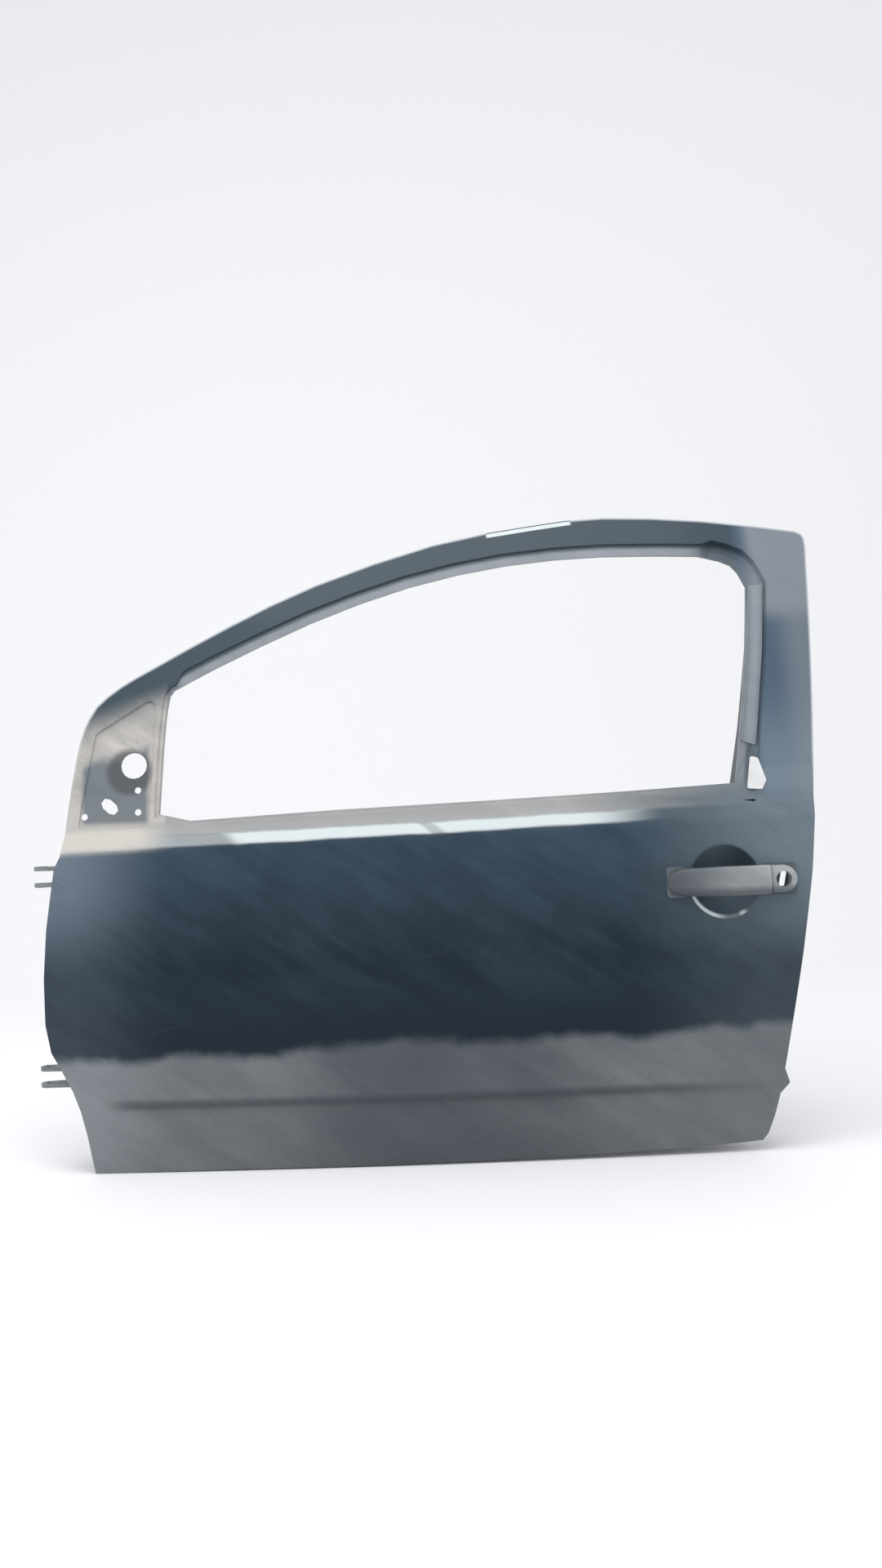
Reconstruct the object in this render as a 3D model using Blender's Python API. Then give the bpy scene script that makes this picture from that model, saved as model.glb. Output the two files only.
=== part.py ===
"""Left-hand front door shell of a small three-door hatchback, in metres.

+X runs to the rear of the car, +Y into the cabin and +Z up. The origin lies on the axis
of the hinge pins, midway between the two ears of the lower hinge.
"""

import math

import bmesh
import bpy
from mathutils import Matrix, Vector
from mathutils.geometry import delaunay_2d_cdt

for item in list(bpy.data.objects):
    bpy.data.objects.remove(item, do_unlink=True)

# The door as a whole
door_length = 1.277
door_height = 1.048
front_edge_x = 0.009
lower_hinge_share = 0.145992
bottom_edge_depth = lower_hinge_share * door_height
# The body side's curvature: where it stands furthest out, and its two radii
pins_to_widest = 0.060
widest_share = (0.478465, 0.260496)
tumblehome_radius = 1.60
plan_radius = 9.0
# Sheet metal
skin_sheet = 0.0008
panel_sheet = 0.0008
joint_gap = 0.0003
overrun = 0.004
facet_length = 0.080
sliver = 0.00005
same_point = 1e-7
smooth_degrees = 35
mitre_share = 0.62
folded_share = 0.8
clearance_share = 0.42


def clamp(value, low=0.0, high=1.0):
    return max(low, min(high, value))


def at(share_x, share_z):
    """A place on the door's side view, from shares of its length and height."""
    return (front_edge_x + share_x * door_length, share_z * door_height - bottom_edge_depth)


widest_x, widest_z = at(*widest_share)


def curve_through(places, steps):
    """Points along a smooth curve through some places, with both ends."""
    found = []
    for i in range(len(places) - 1):
        a = Vector(places[max(i - 1, 0)])
        b = Vector(places[i])
        c = Vector(places[i + 1])
        d = Vector(places[min(i + 2, len(places) - 1)])
        for step in range(steps):
            t = step / steps
            point = 0.5 * (2 * b + (c - a) * t + (2 * a - 5 * b + 4 * c - d) * t**2)
            point += 0.5 * (3 * b - a - 3 * c + d) * t**3
            found.append(tuple(point))
    return found + [tuple(places[-1])]


def loop_of(stretches):
    """A closed loop from stretches that each run on from the one before."""
    loop = []
    for shares, steps in stretches:
        loop += curve_through([at(*share) for share in shares], steps)[:-1]
    return loop


def inset(loop, distance, closed=True):
    """The loop moved to its left by a distance: inwards where it runs anticlockwise."""
    count = len(loop)
    distances = distance if isinstance(distance, list) else [distance] * count
    moved = []
    for i in range(count):
        here = Vector(loop[i])
        back = Vector(loop[i - 1]) if closed or i > 0 else None
        on = Vector(loop[(i + 1) % count]) if closed or i < count - 1 else None
        before = (here - back if back else on - here).normalized()
        after = (on - here if on else here - back).normalized()
        normal = Vector((-before.y, before.x)) + Vector((-after.y, after.x))
        normal.normalize()
        lean = max(normal.dot(Vector((-after.y, after.x))), mitre_share)
        moved.append(tuple(here + normal * distances[i] / lean))
    return moved


def circle(centre, radius, count, start=0.0):
    turns = [start + math.tau * i / count for i in range(count)]
    return [(centre[0] + radius * math.cos(a), centre[1] + radius * math.sin(a)) for a in turns]


def slot(centre, half_length, radius, tilt, count):
    """An oblong with round ends, anticlockwise."""
    found = []
    for end in (1, -1):
        for i in range(count):
            turn = -math.pi / 2 + math.pi * i / (count - 1)
            x = end * (half_length + radius * math.cos(turn))
            z = end * radius * math.sin(turn)
            found.append(
                (
                    centre[0] + x * math.cos(tilt) - z * math.sin(tilt),
                    centre[1] + x * math.sin(tilt) + z * math.cos(tilt),
                )
            )
    return found


def rounded(corners, radius, count=4):
    """A polygon with its corners rounded, anticlockwise."""
    found = []
    for i, corner in enumerate(corners):
        here = Vector(corner)
        back = (Vector(corners[i - 1]) - here).normalized()
        on = (Vector(corners[(i + 1) % len(corners)]) - here).normalized()
        half = back.angle(on) / 2
        reach = radius / math.tan(half)
        middle = here + (back + on).normalized() * radius / math.sin(half)
        first = here + back * reach - middle
        sweep = (here + on * reach - middle).angle_signed(first)
        for k in range(count + 1):
            turn = Matrix.Rotation(sweep * k / count, 2)
            found.append(tuple(middle + turn @ first))
    return found


def divided(chain, longest):
    """The chain with points added so that none of its steps is longer than this."""
    found = [chain[0]]
    for a, b in zip(chain, chain[1:]):
        count = math.ceil((Vector(b) - Vector(a)).length / longest)
        found += [tuple(Vector(a).lerp(Vector(b), i / count)) for i in range(1, count + 1)]
    return found


def raised(loop, depth):
    """A loop with its depth behind the base surface written on each point."""
    depths = depth if isinstance(depth, list) else [depth] * len(loop)
    return [(x, z, d) for (x, z), d in zip(loop, depths)]


def encloses(loop, x, z):
    inside = False
    for i, point in enumerate(loop):
        x1, z1 = point[0], point[1]
        x2, z2 = loop[i - 1][0], loop[i - 1][1]
        if (z1 > z) != (z2 > z) and x < (x2 - x1) * (z - z1) / (z2 - z1) + x1:
            inside = not inside
    return inside


def distance_to(loop, x, z, closed=True):
    best = math.inf
    here = Vector((x, z))
    for i in range(0 if closed else 1, len(loop)):
        a = Vector(loop[i - 1][:2])
        b = Vector(loop[i][:2])
        along = clamp((here - a).dot(b - a) / max((b - a).length_squared, same_point**2))
        best = min(best, (a + (b - a) * along - here).length)
    return best


def fill_points(border, avoid, clearance, depth=0.0):
    """A grid of points inside a border, clear of it and of some loops."""
    xs = [p[0] for p in border]
    zs = [p[1] for p in border]
    found = []
    for i in range(int((max(xs) - min(xs)) / facet_length) + 1):
        for k in range(int((max(zs) - min(zs)) / facet_length) + 1):
            x = min(xs) + (i + 0.5 * (k % 2)) * facet_length
            z = min(zs) + k * facet_length
            if not encloses(border, x, z) or distance_to(border, x, z) < clearance:
                continue
            if all(distance_to(loop, x, z, closed) > clearance for loop, closed in avoid):
                found.append((x, z, depth))
    return found


def material(name, colour, roughness, metallic):
    made = bpy.data.materials.new(name)
    made.use_nodes = True
    shader = made.node_tree.nodes["Principled BSDF"]
    shader.inputs["Base Color"].default_value = (*colour, 1.0)
    shader.inputs["Roughness"].default_value = roughness
    shader.inputs["Metallic"].default_value = metallic
    return made


def placed(name, mesh, look):
    """An object of this mesh, with its material, in the scene."""
    if look:
        mesh.materials.append(look)
    made = bpy.data.objects.new(name, mesh)
    bpy.context.scene.collection.objects.link(made)
    return made


def finish(name, bm, look):
    mesh = bpy.data.meshes.new(name)
    bm.to_mesh(mesh)
    bm.free()
    return placed(name, mesh, look)


def thicken(item, thickness):
    """Sheet thickness, added behind the side that the faces look to."""
    wall = item.modifiers.new("sheet", "SOLIDIFY")
    wall.thickness = thickness
    wall.offset = -1.0
    wall.use_even_offset = True
    return item


def pressing(name, look, base, border, holes=(), rings=(), chains=(), spots=(), lips=()):
    """A pressed sheet: a triangulated side view whose points are set back to the base
    surface plus their own depth. A lip hangs rows of points on one of the loops."""
    points = []
    edges = []
    starts = []
    for ring in (border, *holes, *rings):
        starts.append(len(points))
        count = len(ring)
        edges += [(len(points) + i, len(points) + (i + 1) % count) for i in range(count)]
        points += ring
    for chain in chains:
        edges += [(len(points) + i, len(points) + i + 1) for i in range(len(chain) - 1)]
        points += chain
    points += spots
    flat, _, faces, sources, _, _ = delaunay_2d_cdt(
        [Vector(p[:2]) for p in points], edges, [], 0, same_point
    )
    bm = bmesh.new()
    made = {}
    verts = []
    for place, origin in zip(flat, sources):
        depth = points[origin[0]][2] if origin else 0.0
        vert = bm.verts.new((place.x, base(place.x, place.y) + depth, place.y))
        verts.append(vert)
        made.update((index, vert) for index in origin)
    for face in faces:
        a, b, c = (flat[i] for i in face)
        middle = (a + b + c) / 3
        if (b - a).cross(c - a) < (b - a).length * sliver:
            continue
        if encloses(border, *middle) and not any(encloses(h, *middle) for h in holes):
            bm.faces.new([verts[i] for i in face])
    for which, rows in lips:
        start = starts[which]
        row = [made[start + i] for i in range(len(rows[0]))]
        for places in rows:
            on = [bm.verts.new(place) for place in places]
            for i in range(len(row)):
                k = (i + 1) % len(row)
                bm.faces.new([row[i], row[k], on[k], on[i]])
            row = on
    bmesh.ops.delete(bm, geom=[v for v in bm.verts if not v.link_faces], context="VERTS")
    bmesh.ops.recalc_face_normals(bm, faces=bm.faces)
    if sum(face.normal.y * face.calc_area() for face in bm.faces) > 0:
        bmesh.ops.reverse_faces(bm, faces=bm.faces)
    return finish(name, bm, look)


def triangles(loops):
    """Triangles, as point numbers, that fill the first loop around the others."""
    points = []
    edges = []
    for loop in loops:
        count = len(loop)
        edges += [(len(points) + i, len(points) + (i + 1) % count) for i in range(count)]
        points += [Vector(p) for p in loop]
    flat, _, faces, sources, _, _ = delaunay_2d_cdt(points, edges, [], 0, same_point)
    found = []
    for face in faces:
        a, b, c = (flat[i] for i in face)
        middle = (a + b + c) / 3
        if (b - a).cross(c - a) < (b - a).length * sliver:
            continue
        if encloses(loops[0], *middle) and not any(encloses(h, *middle) for h in loops[1:]):
            found.append([sources[i][0] for i in face])
    return found


def stacked(rings, place, holes=()):
    """A closed solid: outlines of equally many points at rising levels, joined by walls and
    closed at both ends. Straight holes run from the first level to the last."""
    bm = bmesh.new()
    rows = [[bm.verts.new(place(u, v, level)) for u, v in ring] for level, ring in rings]
    levels = (rings[0][0], rings[-1][0])
    walls = [
        [[bm.verts.new(place(u, v, level)) for u, v in hole] for level in levels]
        for hole in holes
    ]
    for row, on in [*zip(rows, rows[1:]), *walls]:
        for i in range(len(row)):
            k = (i + 1) % len(row)
            bm.faces.new([row[i], row[k], on[k], on[i]])
    for end in (0, -1):
        verts = rows[end] + [vert for wall in walls for vert in wall[end]]
        for face in triangles([rings[end][1], *holes]):
            bm.faces.new([verts[i] for i in face])
    bmesh.ops.recalc_face_normals(bm, faces=bm.faces)
    return bm


def solid(name, look, rings, place, holes=()):
    made = finish(name, stacked(rings, place, holes), look)
    made.data.shade_smooth()
    made.data.set_sharp_from_angle(angle=math.radians(smooth_degrees))
    return made


def prism(name, look, outline, low, high, place, holes=()):
    return solid(name, look, [(low, outline), (high, outline)], place, holes)


def combined(item, operation, tools):
    """The item with hidden tools joined to it or cut from it."""
    for tool in tools:
        tool.hide_render = True
        tool.display_type = "WIRE"
        change = item.modifiers.new(tool.name, "BOOLEAN")
        change.operation = operation
        change.object = tool
    return item


def box(low, high):
    return [(low[0], low[1]), (high[0], low[1]), (high[0], high[1]), (low[0], high[1])]


def on_skin(x, z, depth):
    return (x, skin_y(x, z) + depth, z)


def facing_x(y, z, x):
    return (x, y, z)


def facing_z(x, y, z):
    return (x, y, z)


def against(foot, top, side):
    """Places against a face of the deep pan: y, height up the face, distance into the door."""
    rise = (Vector(top) - Vector(foot)).normalized()

    def place(y, up, inwards):
        spot = Vector(foot) + rise * up + Vector((rise.y, -rise.x)) * inwards * side
        return (spot.x, y, spot.y)

    return place


def along(start, end):
    """Places along a straight line: two distances across it and one from its start."""
    way = (Vector(end) - Vector(start)).normalized()
    across = way.orthogonal().normalized()
    other = way.cross(across)
    return lambda u, v, w: tuple(Vector(start) + across * u + other * v + way * w)


# Outer skin: the edge of the door, the body side's curve and what is pressed into it
bottom_shares = [(0.052, 0.000), (0.229, 0.002), (0.411, 0.002), (0.624, 0.005), (0.837, 0.013)]
bottom_shares += [(0.884, 0.017)]
rear_corner_shares = [(0.884, 0.017), (0.891, 0.028), (0.899, 0.056), (0.906, 0.089)]
crease_tip_shares = [(0.906, 0.089), (0.918, 0.105), (0.912, 0.127)]
rear_shares = [(0.912, 0.127), (0.920, 0.180), (0.939, 0.302), (0.956, 0.424), (0.964, 0.508)]
rear_shares += [(0.967, 0.535), (0.975, 0.641), (0.982, 0.737), (0.995, 0.907)]
roof_corner_shares = [(0.995, 0.907), (0.998, 0.955), (0.986, 0.968)]
roof_shares = [(0.986, 0.968), (0.861, 0.990), (0.729, 1.000), (0.630, 0.989), (0.499, 0.961)]
roof_shares += [(0.342, 0.898), (0.231, 0.835), (0.136, 0.773), (0.092, 0.743), (0.061, 0.712)]
roof_shares += [(0.047, 0.680)]
sail_front_shares = [(0.047, 0.680), (0.040, 0.649), (0.032, 0.586), (0.025, 0.516)]
shoulder_front_shares = [(0.025, 0.516), (0.021, 0.482)]
front_shares = [(0.021, 0.482), (0.014, 0.464), (0.004, 0.372), (0.000, 0.299), (0.000, 0.231)]
front_shares += [(0.006, 0.188)]
jog_shares = [(0.006, 0.188), (0.016, 0.165), (0.031, 0.127)]
front_corner_shares = [(0.031, 0.127), (0.039, 0.097), (0.045, 0.061), (0.052, 0.000)]
edge_stretches = [(bottom_shares, 1), (rear_corner_shares, 1), (crease_tip_shares, 1)]
edge_stretches += [(rear_shares, 1), (roof_corner_shares, 3), (roof_shares, 2)]
edge_stretches += [(sail_front_shares, 2), (shoulder_front_shares, 1), (front_shares, 1)]
edge_stretches += [(jog_shares, 1), (front_corner_shares, 1)]
door_edge = loop_of(edge_stretches)

belt_shares = [(0.143, 0.541), (0.182, 0.530), (0.366, 0.539), (0.548, 0.545), (0.731, 0.552)]
belt_shares += [(0.871, 0.559)]
window_rear_shares = [(0.871, 0.559), (0.883, 0.644), (0.901, 0.773), (0.912, 0.875)]
window_corner_shares = [(0.912, 0.875), (0.896, 0.912), (0.854, 0.929)]
window_top_shares = [(0.854, 0.929), (0.724, 0.933), (0.594, 0.922), (0.465, 0.890)]
window_top_shares += [(0.337, 0.836), (0.211, 0.766), (0.165, 0.737)]
window_front_shares = [(0.165, 0.737), (0.154, 0.725), (0.149, 0.676), (0.146, 0.610)]
window_front_shares += [(0.143, 0.541)]
window_stretches = [(belt_shares, 1), (window_rear_shares, 1), (window_corner_shares, 3)]
window_stretches += [(window_top_shares, 2), (window_front_shares, 2)]
window_edge = loop_of(window_stretches)
# A band is pressed back round the window: its width and depth along each stretch
belt_lip = 0.004
belt_lip_depth = 0.004
run_band = 0.030
run_band_depth = 0.012
top_band = 0.019
top_band_depth = 0.005
front_band = 0.005
front_band_depth = 0.003
band_wall = 0.002
window_return = 0.018

shoulder_depth = 0.014
hem_lip = 0.009
hem_gap = 0.0006
hem_depth = 2 * skin_sheet + panel_sheet + 2 * hem_gap
edge_band = 0.015

crease_share = 0.102
crease_height = 0.004
groove_depth = 0.003
crease_half = 0.004
crease_blend = 0.040
crease_fade = 0.060
crease_start_share = 0.079092

# The cup's middle is set by where the latch face crosses the handle's height, and the
# pieces at both ends of the handle by the edge of the cup
cup_radius = 0.057
cup_depth = 0.024
# Rings of the cup, as shares of its radius, with their numbers of points
cup_ring_shares = [(1.0, 20), (0.86, 16), (0.5, 10)]
latch_face_share = (0.93324, 0.41317)
room_for_end = 0.05475
handle_x = at(*latch_face_share)[0] - room_for_end - cup_radius
handle_z = at(*latch_face_share)[1]
handle_height = 0.046
grip_past_cup = 0.035
grip_front = handle_x - cup_radius - grip_past_cup
pivot_setback = 0.013
pivot_x = grip_front + pivot_setback
cap_past_cup = 0.0135
cap_front = handle_x + cup_radius + cap_past_cup
cap_length = 0.042
cap_rear = cap_front + cap_length
lock_setback = 0.020
lock_x = cap_front + lock_setback
lock_radius = 0.0125
lock_boss_wall = 0.0015
arm_half = 0.005
arm_width = 0.012
arm_reach = 0.030
rear_arm_half = 0.003
rear_arm_past_cup = 0.009
rear_arm_x = handle_x + cup_radius + rear_arm_past_cup
arm_travel = 0.003
hole_play = 0.0007
seat_margin = 0.003
seat_corner = 0.006
seat_facet = 0.016

sail_pocket_depth = 0.003
mirror_hole_radius = 0.021
mirror_hole_share = (0.1112, 0.6174)
screw_hole_radius = 0.0055
screw_hole_shares = [(0.0489, 0.5411), (0.1167, 0.5793), (0.1171, 0.5458)]
oblong_share = (0.0808, 0.5559)
oblong_half = 0.007
oblong_radius = 0.009
oblong_degrees = -42
behind_margin = 0.0012


def side_y(x, z):
    """The body side without its shoulder."""
    bow = (z - widest_z) ** 2 / (2 * tumblehome_radius)
    bow += (x - widest_x) ** 2 / (2 * plan_radius)
    return bow - pins_to_widest


def level_between(first, last, x):
    """Height of the line through two places at x."""
    (x1, z1), (x2, z2) = at(*first), at(*last)
    return z1 + (z2 - z1) * (x - x1) / (x2 - x1)


def shoulder_foot(x):
    return level_between(shoulder_front_shares[1], rear_shares[4], x)


def shoulder_top(x):
    return level_between(shoulder_front_shares[0], rear_shares[5], x)


seam_front = len(loop_of(edge_stretches[:7]))
seam_rear = len(loop_of(edge_stretches[:3])) + 5
shoulder_marks = {
    seam_front: shoulder_top,
    seam_rear: shoulder_top,
    seam_front + 1: shoulder_foot,
    seam_rear - 1: shoulder_foot,
}


def skin_y(x, z):
    """The outer face of the door: below the window the side rolls in over a shoulder."""
    foot = shoulder_foot(x)
    return side_y(x, z) + shoulder_depth * clamp((z - foot) / (shoulder_top(x) - foot))


def along_stretches(stretches, values):
    """One value for each point of a loop, from one value for each of its stretches."""
    found = []
    for (shares, steps), value in zip(stretches, values):
        found += [value] * ((len(shares) - 1) * steps)
    return found


window_bands = along_stretches(
    window_stretches, [belt_lip, run_band, run_band, top_band, front_band]
)
window_depths = along_stretches(
    window_stretches,
    [belt_lip_depth, run_band_depth, run_band_depth, top_band_depth, front_band_depth],
)
crease_z = crease_share * door_height - bottom_edge_depth
crease_start = front_edge_x + crease_start_share * door_length
crease_end = at(*crease_tip_shares[1])[0] - edge_band - band_wall


def crease_stations():
    """Places along the crease with how much of it there is: it fades at both ends."""
    first = crease_start + crease_fade
    last = crease_end - crease_fade
    count = round((last - first) / facet_length)
    full = [(first + (last - first) * i / count, 1.0) for i in range(count + 1)]
    return [(crease_start, 0.0), *full, (crease_end, 0.0)]


def crease_chain(height, depth):
    return [(x, crease_z + height, depth * share) for x, share in crease_stations()]


def edge_row(distance):
    """The door's edge moved inwards, its shoulder points kept on the shoulder's lines."""
    row = inset(door_edge, distance)
    for index, level in shoulder_marks.items():
        row[index] = (row[index][0], level(row[index][0]))
    return row


def shoulder_chain(level):
    """Points along one of the shoulder's lines, between the two edge bands."""
    row = edge_row(edge_band)
    ends = [row[index] for index, found in shoulder_marks.items() if found is level]
    count = math.ceil((ends[1][0] - ends[0][0]) / facet_length)
    xs = [ends[0][0] + (ends[1][0] - ends[0][0]) * i / count for i in range(count + 1)]
    return [(x, level(x), 0.0) for x in xs]


sail_pocket_shares = [(0.0415, 0.521), (0.130, 0.521), (0.137, 0.700), (0.134, 0.722)]
sail_pocket_shares += [(0.062, 0.668)]
sail_facet = 0.038
sail_corner = 0.008
sail_clearance = 0.008
sail_pocket = rounded([at(*share) for share in sail_pocket_shares], sail_corner, 2)
sail_pocket = divided([*sail_pocket, sail_pocket[0]], sail_facet)[:-1]


def holes_of_sail(margin):
    """The mirror's hole, its three screw holes and the oblong one, each wider by a margin."""
    found = [circle(at(*mirror_hole_share), mirror_hole_radius + margin, 16)]
    found += [circle(at(*share), screw_hole_radius + margin, 8) for share in screw_hole_shares]
    tilt = math.radians(oblong_degrees)
    found.append(slot(at(*oblong_share), oblong_half, oblong_radius + margin, tilt, 4))
    return found


sail_holes = holes_of_sail(0.0)
plate_holes = holes_of_sail(behind_margin)


def sail_places():
    """A grid of places over the sail, clear of its holes, shared by the sheets there."""
    found = []
    xs = [p[0] for p in sail_pocket]
    zs = [p[1] for p in sail_pocket]
    for i in range(1, math.ceil((max(xs) - min(xs)) / sail_facet)):
        for k in range(1, math.ceil((max(zs) - min(zs)) / sail_facet)):
            place = (min(xs) + i * sail_facet, min(zs) + k * sail_facet)
            if not encloses(sail_pocket, *place):
                continue
            if distance_to(sail_pocket, *place) < sail_clearance:
                continue
            if all(distance_to(hole, *place) > sail_clearance and not encloses(hole, *place)
                   for hole in sail_holes):
                found.append(place)
    return found


def cup_ring(share, count):
    """A circle of the handle's cup with its depth: a dish with a round rim."""
    radius = cup_radius * share
    depth = cup_depth * (1 - share**2) if share < 1 else 0.0
    return raised(circle((handle_x, handle_z), radius, count), depth)


def handle_seat(front, rear):
    """The outline of the skin under one end of the handle, where its gasket sits."""
    half = handle_height / 2 + seat_margin
    outline = box((front, handle_z - half), (rear, handle_z + half))
    return rounded(outline, seat_corner, 2)


pivot_hole_front = pivot_x - arm_half - arm_travel
pivot_hole_rear = pivot_x + arm_half + hole_play
front_seat = handle_seat(grip_front - seat_margin, handle_x - cup_radius - seat_margin / 2)
rear_seat = handle_seat(handle_x + cup_radius + seat_margin / 2, cap_rear + seat_margin)
arm_hole_half = arm_width / 2 + hole_play
front_arm_hole = box((pivot_hole_front, handle_z - arm_hole_half),
                     (pivot_hole_rear, handle_z + arm_hole_half))
rear_arm_hole = box((rear_arm_x - rear_arm_half - hole_play, handle_z - arm_hole_half),
                    (rear_arm_x + rear_arm_half + hole_play, handle_z + arm_hole_half))
boss_radius = lock_radius + lock_boss_wall
lock_hole = circle((lock_x, handle_z), boss_radius + hole_play, 16)
handle_holes = [front_arm_hole, rear_arm_hole, lock_hole]


def outer_skin():
    window_inner = inset(window_edge, [-w for w in window_bands])
    window_outer = inset(window_edge, [-w - band_wall for w in window_bands])
    hem_foot = edge_row(hem_lip)
    hem_rows = [
        [(x, skin_y(x, z) + hem_depth, z) for x, z in door_edge],
        [(x, skin_y(x, z) + hem_depth, z) for x, z in hem_foot],
    ]
    return_row = [(x, skin_y(x, z) + window_return, z) for x, z in window_edge]
    cup = [cup_ring(share, count) for share, count in cup_ring_shares]
    creases = [
        crease_chain(crease_blend, 0.0),
        crease_chain(crease_half, -crease_height),
        crease_chain(-crease_half, groove_depth),
        crease_chain(-crease_blend, 0.0),
    ]
    shoulders = [shoulder_chain(shoulder_foot), shoulder_chain(shoulder_top)]
    seats = [divided([*seat, seat[0]], seat_facet)[:-1] for seat in (front_seat, rear_seat)]
    avoid = [(window_outer, True), (cup[0], True), (sail_pocket, True)]
    avoid += [(seat, True) for seat in seats]
    avoid += [(chain, False) for chain in creases + shoulders]
    edge_inner = edge_row(edge_band)
    spots = [
        spot
        for spot in fill_points(edge_inner, avoid, facet_length * clearance_share)
        if not any(encloses(loop, *spot[:2]) for loop in (window_outer, cup[0], *seats))
    ]
    spots.append((handle_x, handle_z, cup_depth))
    spots += raised(sail_places(), sail_pocket_depth)
    pocket_rim = inset(sail_pocket, -band_wall)
    skin = pressing(
        "outer_skin",
        material("navy_paint", (0.020, 0.030, 0.045), 0.25, 0.0),
        skin_y,
        raised(door_edge, 0.0),
        [
            raised(window_edge, window_depths),
            *[raised(hole, sail_pocket_depth) for hole in sail_holes],
            *[raised(hole, 0.0) for hole in handle_holes],
        ],
        [
            *[raised(seat, 0.0) for seat in seats],
            raised(edge_inner, 0.0),
            raised(window_inner, window_depths),
            raised(window_outer, 0.0),
            raised(sail_pocket, sail_pocket_depth),
            raised(pocket_rim, 0.0),
            *cup,
        ],
        creases + shoulders,
        spots,
        [(0, hem_rows), (1, [return_row])],
    )
    return thicken(skin, skin_sheet)


outer_skin()


# Inner panel: the deep pressing that carries the hinges, the latch and the window gear
panel_y = 0.062
upper_face_shares = [(0.033673, 0.481870), (0.033673, 0.395992)]
lower_face_shares = [(0.047768, 0.203244), (0.047768, 0.111641)]
hem_room = 0.0012
flange_width = 0.013
flange_depth = skin_sheet + hem_gap
pan_foot_depth = 0.005
draft = 0.0006
pan_corner = 0.016
pan_front_top_share = (0.0405, 0.516)
pan_low_shares = [(0.055, 0.094), (0.066, 0.023), (0.875, 0.038)]
pan_rear_top_share = (0.952, 0.534)
service_shares = [
    [(0.103, 0.285), (0.300, 0.262), (0.312, 0.440), (0.108, 0.444)],
    [(0.375, 0.105), (0.650, 0.105), (0.672, 0.425), (0.362, 0.440)],
    [(0.720, 0.170), (0.850, 0.165), (0.885, 0.440), (0.735, 0.440)],
]
service_corner = 0.030
opening_rim = 0.012
opening_step = 0.005
speaker_share = (0.198121, 0.140267)
speaker_radius_share = 0.078244
bead_shares = [(0.082, 0.477), (0.905, 0.482), (0.905, 0.502), (0.082, 0.497)]
bead_depth = 0.005
bead_corner = 0.0075
clip_radius = 0.0045
clip_shares = [(0.075, 0.47), (0.335, 0.40), (0.335, 0.20), (0.130, 0.055), (0.45, 0.045)]
clip_shares += [(0.70, 0.045), (0.86, 0.075), (0.905, 0.36), (0.694, 0.28)]
upper_face_x = at(*upper_face_shares[0])[0]
lower_face_x = at(*lower_face_shares[0])[0]


def below_seam(loop):
    return loop[seam_front:] + loop[: seam_rear + 1]


def above_seam(loop):
    return loop[seam_rear : seam_front + 1]


def edge_inset(distance, part_of):
    """Part of the door's edge moved inwards, without the points that a tight corner folds."""
    moved = part_of(edge_row(distance))
    kept = [p for p in moved[1:-1] if distance_to(door_edge, *p) > folded_share * distance]
    return [moved[0], *kept, moved[-1]]


def at_level(places, y):
    """Places with the depth that brings them to one level across the car."""
    return [(x, z, y - skin_y(x, z)) for x, z in places]


def pan_line():
    """The deep part's side view: down the hinge face, along the sill, up the latch face."""
    shares = [pan_front_top_share, *upper_face_shares, *lower_face_shares, *pan_low_shares]
    corners = [at(*share) for share in [*shares, pan_rear_top_share]]
    for end in (0, -1):
        corners[end] = (corners[end][0], shoulder_top(corners[end][0]))
    turned = rounded(corners, pan_corner, 2)[3:-3]
    return divided([corners[0], *turned, corners[-1]], facet_length)


pan = pan_line()
pan_inner = inset(pan, draft, closed=False)
for end in (0, -1):
    pan_inner[end] = (pan_inner[end][0], shoulder_top(pan_inner[end][0]))


def inner_panel():
    edge = edge_inset(hem_room, below_seam)
    flange = edge_inset(flange_width, below_seam)
    top = divided([pan_inner[-1], pan_inner[0]], facet_length)
    border = raised([*edge, flange[-1]], flange_depth)
    border += raised([pan[-1]], pan_foot_depth) + at_level(top, panel_y)
    border += raised([pan[0]], pan_foot_depth) + raised([flange[0]], flange_depth)
    speaker = circle(at(*speaker_share), speaker_radius_share * door_height, 24)
    cut = [rounded([at(*share) for share in shares], service_corner, 3)
           for shares in service_shares]
    cut.append(speaker)
    rims = [at_level(inset(loop, -opening_rim), panel_y) for loop in cut]
    holes = [at_level(loop, panel_y - opening_step) for loop in cut]
    holes += [at_level(circle(at(*share), clip_radius, 8), panel_y) for share in clip_shares]
    bead = rounded([at(*share) for share in bead_shares], bead_corner, 2)
    rims.append(at_level(bead, panel_y))
    rims.append(at_level(inset(bead, bead_depth), panel_y - bead_depth))
    panel = pressing(
        "inner_panel",
        material("panel_paint", (0.020, 0.030, 0.045), 0.35, 0.0),
        skin_y,
        border,
        holes,
        rims,
        [raised(flange, flange_depth), raised(pan, pan_foot_depth), at_level(pan_inner, panel_y)],
    )
    return thicken(panel, panel_sheet)


inner_panel()


# Inner window frame: a hat section behind the skin's frame, flat where the mirror sits
frame_hat = 0.030
hat_flange = 0.0165
sail_plate_depth = sail_pocket_depth + skin_sheet + hem_gap
window_clearance = 0.0024
frame_return_depth = 0.014
hat_start_share = 0.132341
hat_rise = 0.090
seam_gap = 0.0008


def hat_share(x):
    return clamp((x - front_edge_x - hat_start_share * door_length) / hat_rise)


def hat_depth(x, full):
    return sail_plate_depth + (full - sail_plate_depth) * hat_share(x)


def frame_face_y(x, z):
    """The hat's face: level with the inner panel at the foot of the rear pillar."""
    face = skin_y(x, z) + hat_depth(x, frame_hat)
    return max(face, panel_y) if x > widest_x else face


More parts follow.
